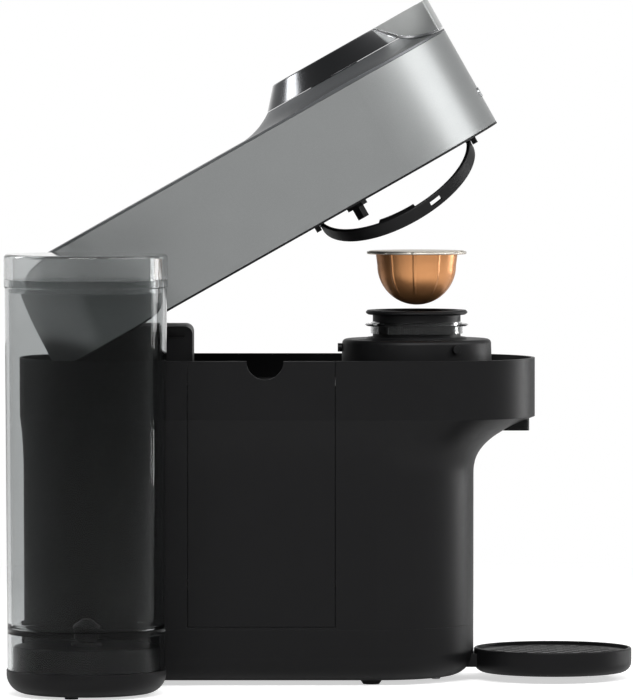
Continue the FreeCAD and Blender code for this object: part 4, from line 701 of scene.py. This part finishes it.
@dataclass
class Studio:
    """White sweep, lamps and the camera of the side view."""

    lens_px: float = 7200.0
    long_side_px: float = 700.0
    sensor_mm: float = 36.0
    camera_x: float = -0.9 * MM
    camera_distance: float = 4898 * MM
    camera_height: float = 414 * MM
    camera_drop_px: float = 279.0
    # Light of the surround in front and behind, and where along Y it changes
    front_level: float = 0.14
    back_level: float = 0.5
    level_span: Span = (-0.2, 0.9)
    # More soft light from the left, and where along X it sets in and is full
    left_level: float = 1.6
    left_span: Span = (-0.82, -1.0)
    # Where along Y the white backdrop sets in and is full in mirrored views
    backdrop_span: Span = (0.85, 0.97)
    floor_colour: str = "dedede"
    floor_radius: float = 6.0
    floor_sides: int = 96
    floor_glow: float = 0.6
    # Painted light: near the object the floor glows this much in reflections only, though no lamp is
    # there
    mirrored_glow: float = 0.12
    shadow_radius: float = 0.3
    sweep_radius: float = 1.2
    lamps: list[Lamp] = field(default_factory=lambda: [
        Lamp(LampRole.FRONT, (-0.2, -1.9, 1.9), (1.6, 1.0), 50.0),
        Lamp(LampRole.RIGHT, (1.8, -0.4, 1.3), (1.5, 0.8), 20.0),
        Lamp(LampRole.EDGE, (1.65, 0.95, 0.26), (0.45, 0.5), 7.0),
        Lamp(LampRole.LEFT, (-1.57, 0.61, 1.08), (0.4, 0.5), 9.0),
        Lamp(LampRole.WASH, (0.5, -0.6, 0.9), (0.5, 0.5), 4.0, (0.5, -0.6, 0.0))])

    def build(self) -> None:
        """Set up the world, the floor, the lamps, the camera and the view."""
        self.world()
        self.floor()
        for lamp in self.lamps:
            lamp.hang()
        self.camera()
        bpy.context.scene.view_settings.view_transform = "Standard"

    def world(self) -> None:
        """Make a soft grey surround that the camera and clear pieces see as white."""
        world = bpy.data.worlds.new("studio")
        bpy.context.scene.world = world
        world.use_nodes = True
        tree = world.node_tree
        tree.nodes.clear()
        way = add_node(tree, "ShaderNodeTexCoord").outputs["Generated"]
        axes = add_node(tree, "ShaderNodeSeparateXYZ", {"Vector": way})
        behind = add_node(tree, "ShaderNodeMapRange", {
            "Value": axes.outputs["Y"], "From Min": self.level_span[0],
            "From Max": self.level_span[1], "To Min": self.front_level, "To Max": self.back_level})
        beside = add_node(tree, "ShaderNodeMapRange", {
            "Value": axes.outputs["X"], "From Min": self.left_span[0], "From Max": self.left_span[1],
            "To Min": 0.0, "To Max": self.left_level}, interpolation_type="SMOOTHSTEP")
        level = add_node(tree, "ShaderNodeMath", {
            0: behind.outputs["Result"], 1: beside.outputs["Result"]}, operation="ADD")
        backdrop = add_node(tree, "ShaderNodeMapRange", {
            "Value": axes.outputs["Y"], "From Min": self.backdrop_span[0],
            "From Max": self.backdrop_span[1]})
        surround = add_node(tree, "ShaderNodeBackground", {
            "Color": linear(WHITE), "Strength": level.outputs[0]})
        white = add_node(tree, "ShaderNodeBackground", {"Color": linear(WHITE), "Strength": 1.0})
        path = add_node(tree, "ShaderNodeLightPath")
        through = add_node(tree, "ShaderNodeMath", {
            0: path.outputs["Is Camera Ray"], 1: path.outputs["Is Transmission Ray"]},
            operation="MAXIMUM")
        mirrored = add_node(tree, "ShaderNodeMath", {
            0: path.outputs["Is Glossy Ray"], 1: backdrop.outputs["Result"]}, operation="MULTIPLY")
        seen = add_node(tree, "ShaderNodeMath", {
            0: through.outputs[0], 1: mirrored.outputs[0]}, operation="MAXIMUM")
        mixed = add_node(tree, "ShaderNodeMixShader", {
            0: seen.outputs[0], 1: surround.outputs[0], 2: white.outputs[0]})
        add_node(tree, "ShaderNodeOutputWorld", {"Surface": mixed.outputs[0]})

    def sweep(self) -> bpy.types.Material:
        """Make the floor's white paper, which glows where it is seen and is clear from below.

        Returns:
            The material of the floor.
        """
        material = bpy.data.materials.new("floor_white_sweep")
        material.use_nodes = True
        tree = material.node_tree
        tree.nodes.clear()
        path = add_node(tree, "ShaderNodeLightPath")
        seen = add_node(tree, "ShaderNodeMath", {
            0: path.outputs["Is Camera Ray"], 1: path.outputs["Is Transmission Ray"]},
            operation="MAXIMUM")
        where = add_node(tree, "ShaderNodeTexCoord").outputs["Object"]
        reach = add_node(tree, "ShaderNodeVectorMath", {0: where}, operation="LENGTH")
        far = add_node(tree, "ShaderNodeMapRange", {
            "Value": reach.outputs["Value"], "From Min": self.shadow_radius,
            "From Max": self.sweep_radius}, interpolation_type="SMOOTHSTEP").outputs["Result"]
        near = add_node(tree, "ShaderNodeMath", {0: 1.0, 1: far}, operation="SUBTRACT")
        # Painted light: a glow near the object that only glossy rays see, so shiny pieces mirror a
        # brighter floor
        nearby = add_node(tree, "ShaderNodeMath", {
            0: near.outputs[0], 1: self.mirrored_glow}, operation="MULTIPLY")
        mirrored = add_node(tree, "ShaderNodeMath", {
            0: path.outputs["Is Glossy Ray"], 1: nearby.outputs[0]}, operation="MULTIPLY")
        shown = add_node(tree, "ShaderNodeMath", {
            0: seen.outputs[0], 1: self.floor_glow}, operation="MULTIPLY")
        glow = add_node(tree, "ShaderNodeMath", {
            0: shown.outputs[0], 1: mirrored.outputs[0]}, operation="MAXIMUM")
        paper = add_node(tree, "ShaderNodeBsdfDiffuse", {"Color": linear(self.floor_colour)})
        light = add_node(tree, "ShaderNodeEmission", {
            "Color": linear(WHITE), "Strength": glow.outputs[0]})
        lit = add_node(tree, "ShaderNodeAddShader", {0: paper.outputs[0], 1: light.outputs[0]})
        faded = add_node(tree, "ShaderNodeMath", {0: far, 1: seen.outputs[0]}, operation="MULTIPLY")
        white = add_node(tree, "ShaderNodeEmission", {"Color": linear(WHITE), "Strength": 1.0})
        above = add_node(tree, "ShaderNodeMixShader", {
            0: faded.outputs[0], 1: lit.outputs[0], 2: white.outputs[0]})
        clear = add_node(tree, "ShaderNodeBsdfTransparent")
        under = add_node(tree, "ShaderNodeNewGeometry").outputs["Backfacing"]
        both = add_node(tree, "ShaderNodeMixShader", {
            0: under, 1: above.outputs[0], 2: clear.outputs[0]})
        add_node(tree, "ShaderNodeOutputMaterial", {"Surface": both.outputs[0]})
        return material

    def floor(self) -> None:
        """Lay a pale round floor that keeps the object's shadow."""
        work = bmesh.new()
        bmesh.ops.create_circle(
            work, cap_ends=True, radius=self.floor_radius, segments=self.floor_sides)
        mesh = bpy.data.meshes.new("studio_floor")
        work.to_mesh(mesh)
        work.free()
        mesh.materials.append(self.sweep())
        floor = bpy.data.objects.new("studio_floor", mesh)
        bpy.context.scene.collection.objects.link(floor)

    def camera(self) -> None:
        """Place the camera at the side, a little above the machine and far off."""
        data = bpy.data.cameras.new("side_view")
        data.sensor_width = self.sensor_mm
        data.lens = self.lens_px * self.sensor_mm / self.long_side_px
        camera = bpy.data.objects.new("side_view", data)
        low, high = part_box("main_housing")
        plane = (low.y + high.y) / 2
        tilt = math.atan(self.camera_drop_px / self.lens_px)
        camera.location = (self.camera_x, plane - self.camera_distance, self.camera_height)
        camera.rotation_euler = (math.radians(90) - tilt, 0.0, 0.0)
        bpy.context.scene.collection.objects.link(camera)
        bpy.context.scene.camera = camera


def main() -> None:
    """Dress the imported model, add the small pieces and light the scene."""
    logging.basicConfig(level=logging.INFO, format="%(name)s: %(message)s")
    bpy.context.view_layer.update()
    for part in (Body(), PodUnit(), Head(), Lever(), Tank(), Tray()):
        part.dress()
        part.build()
    Studio().build()


if __name__ == "__main__":
    main()
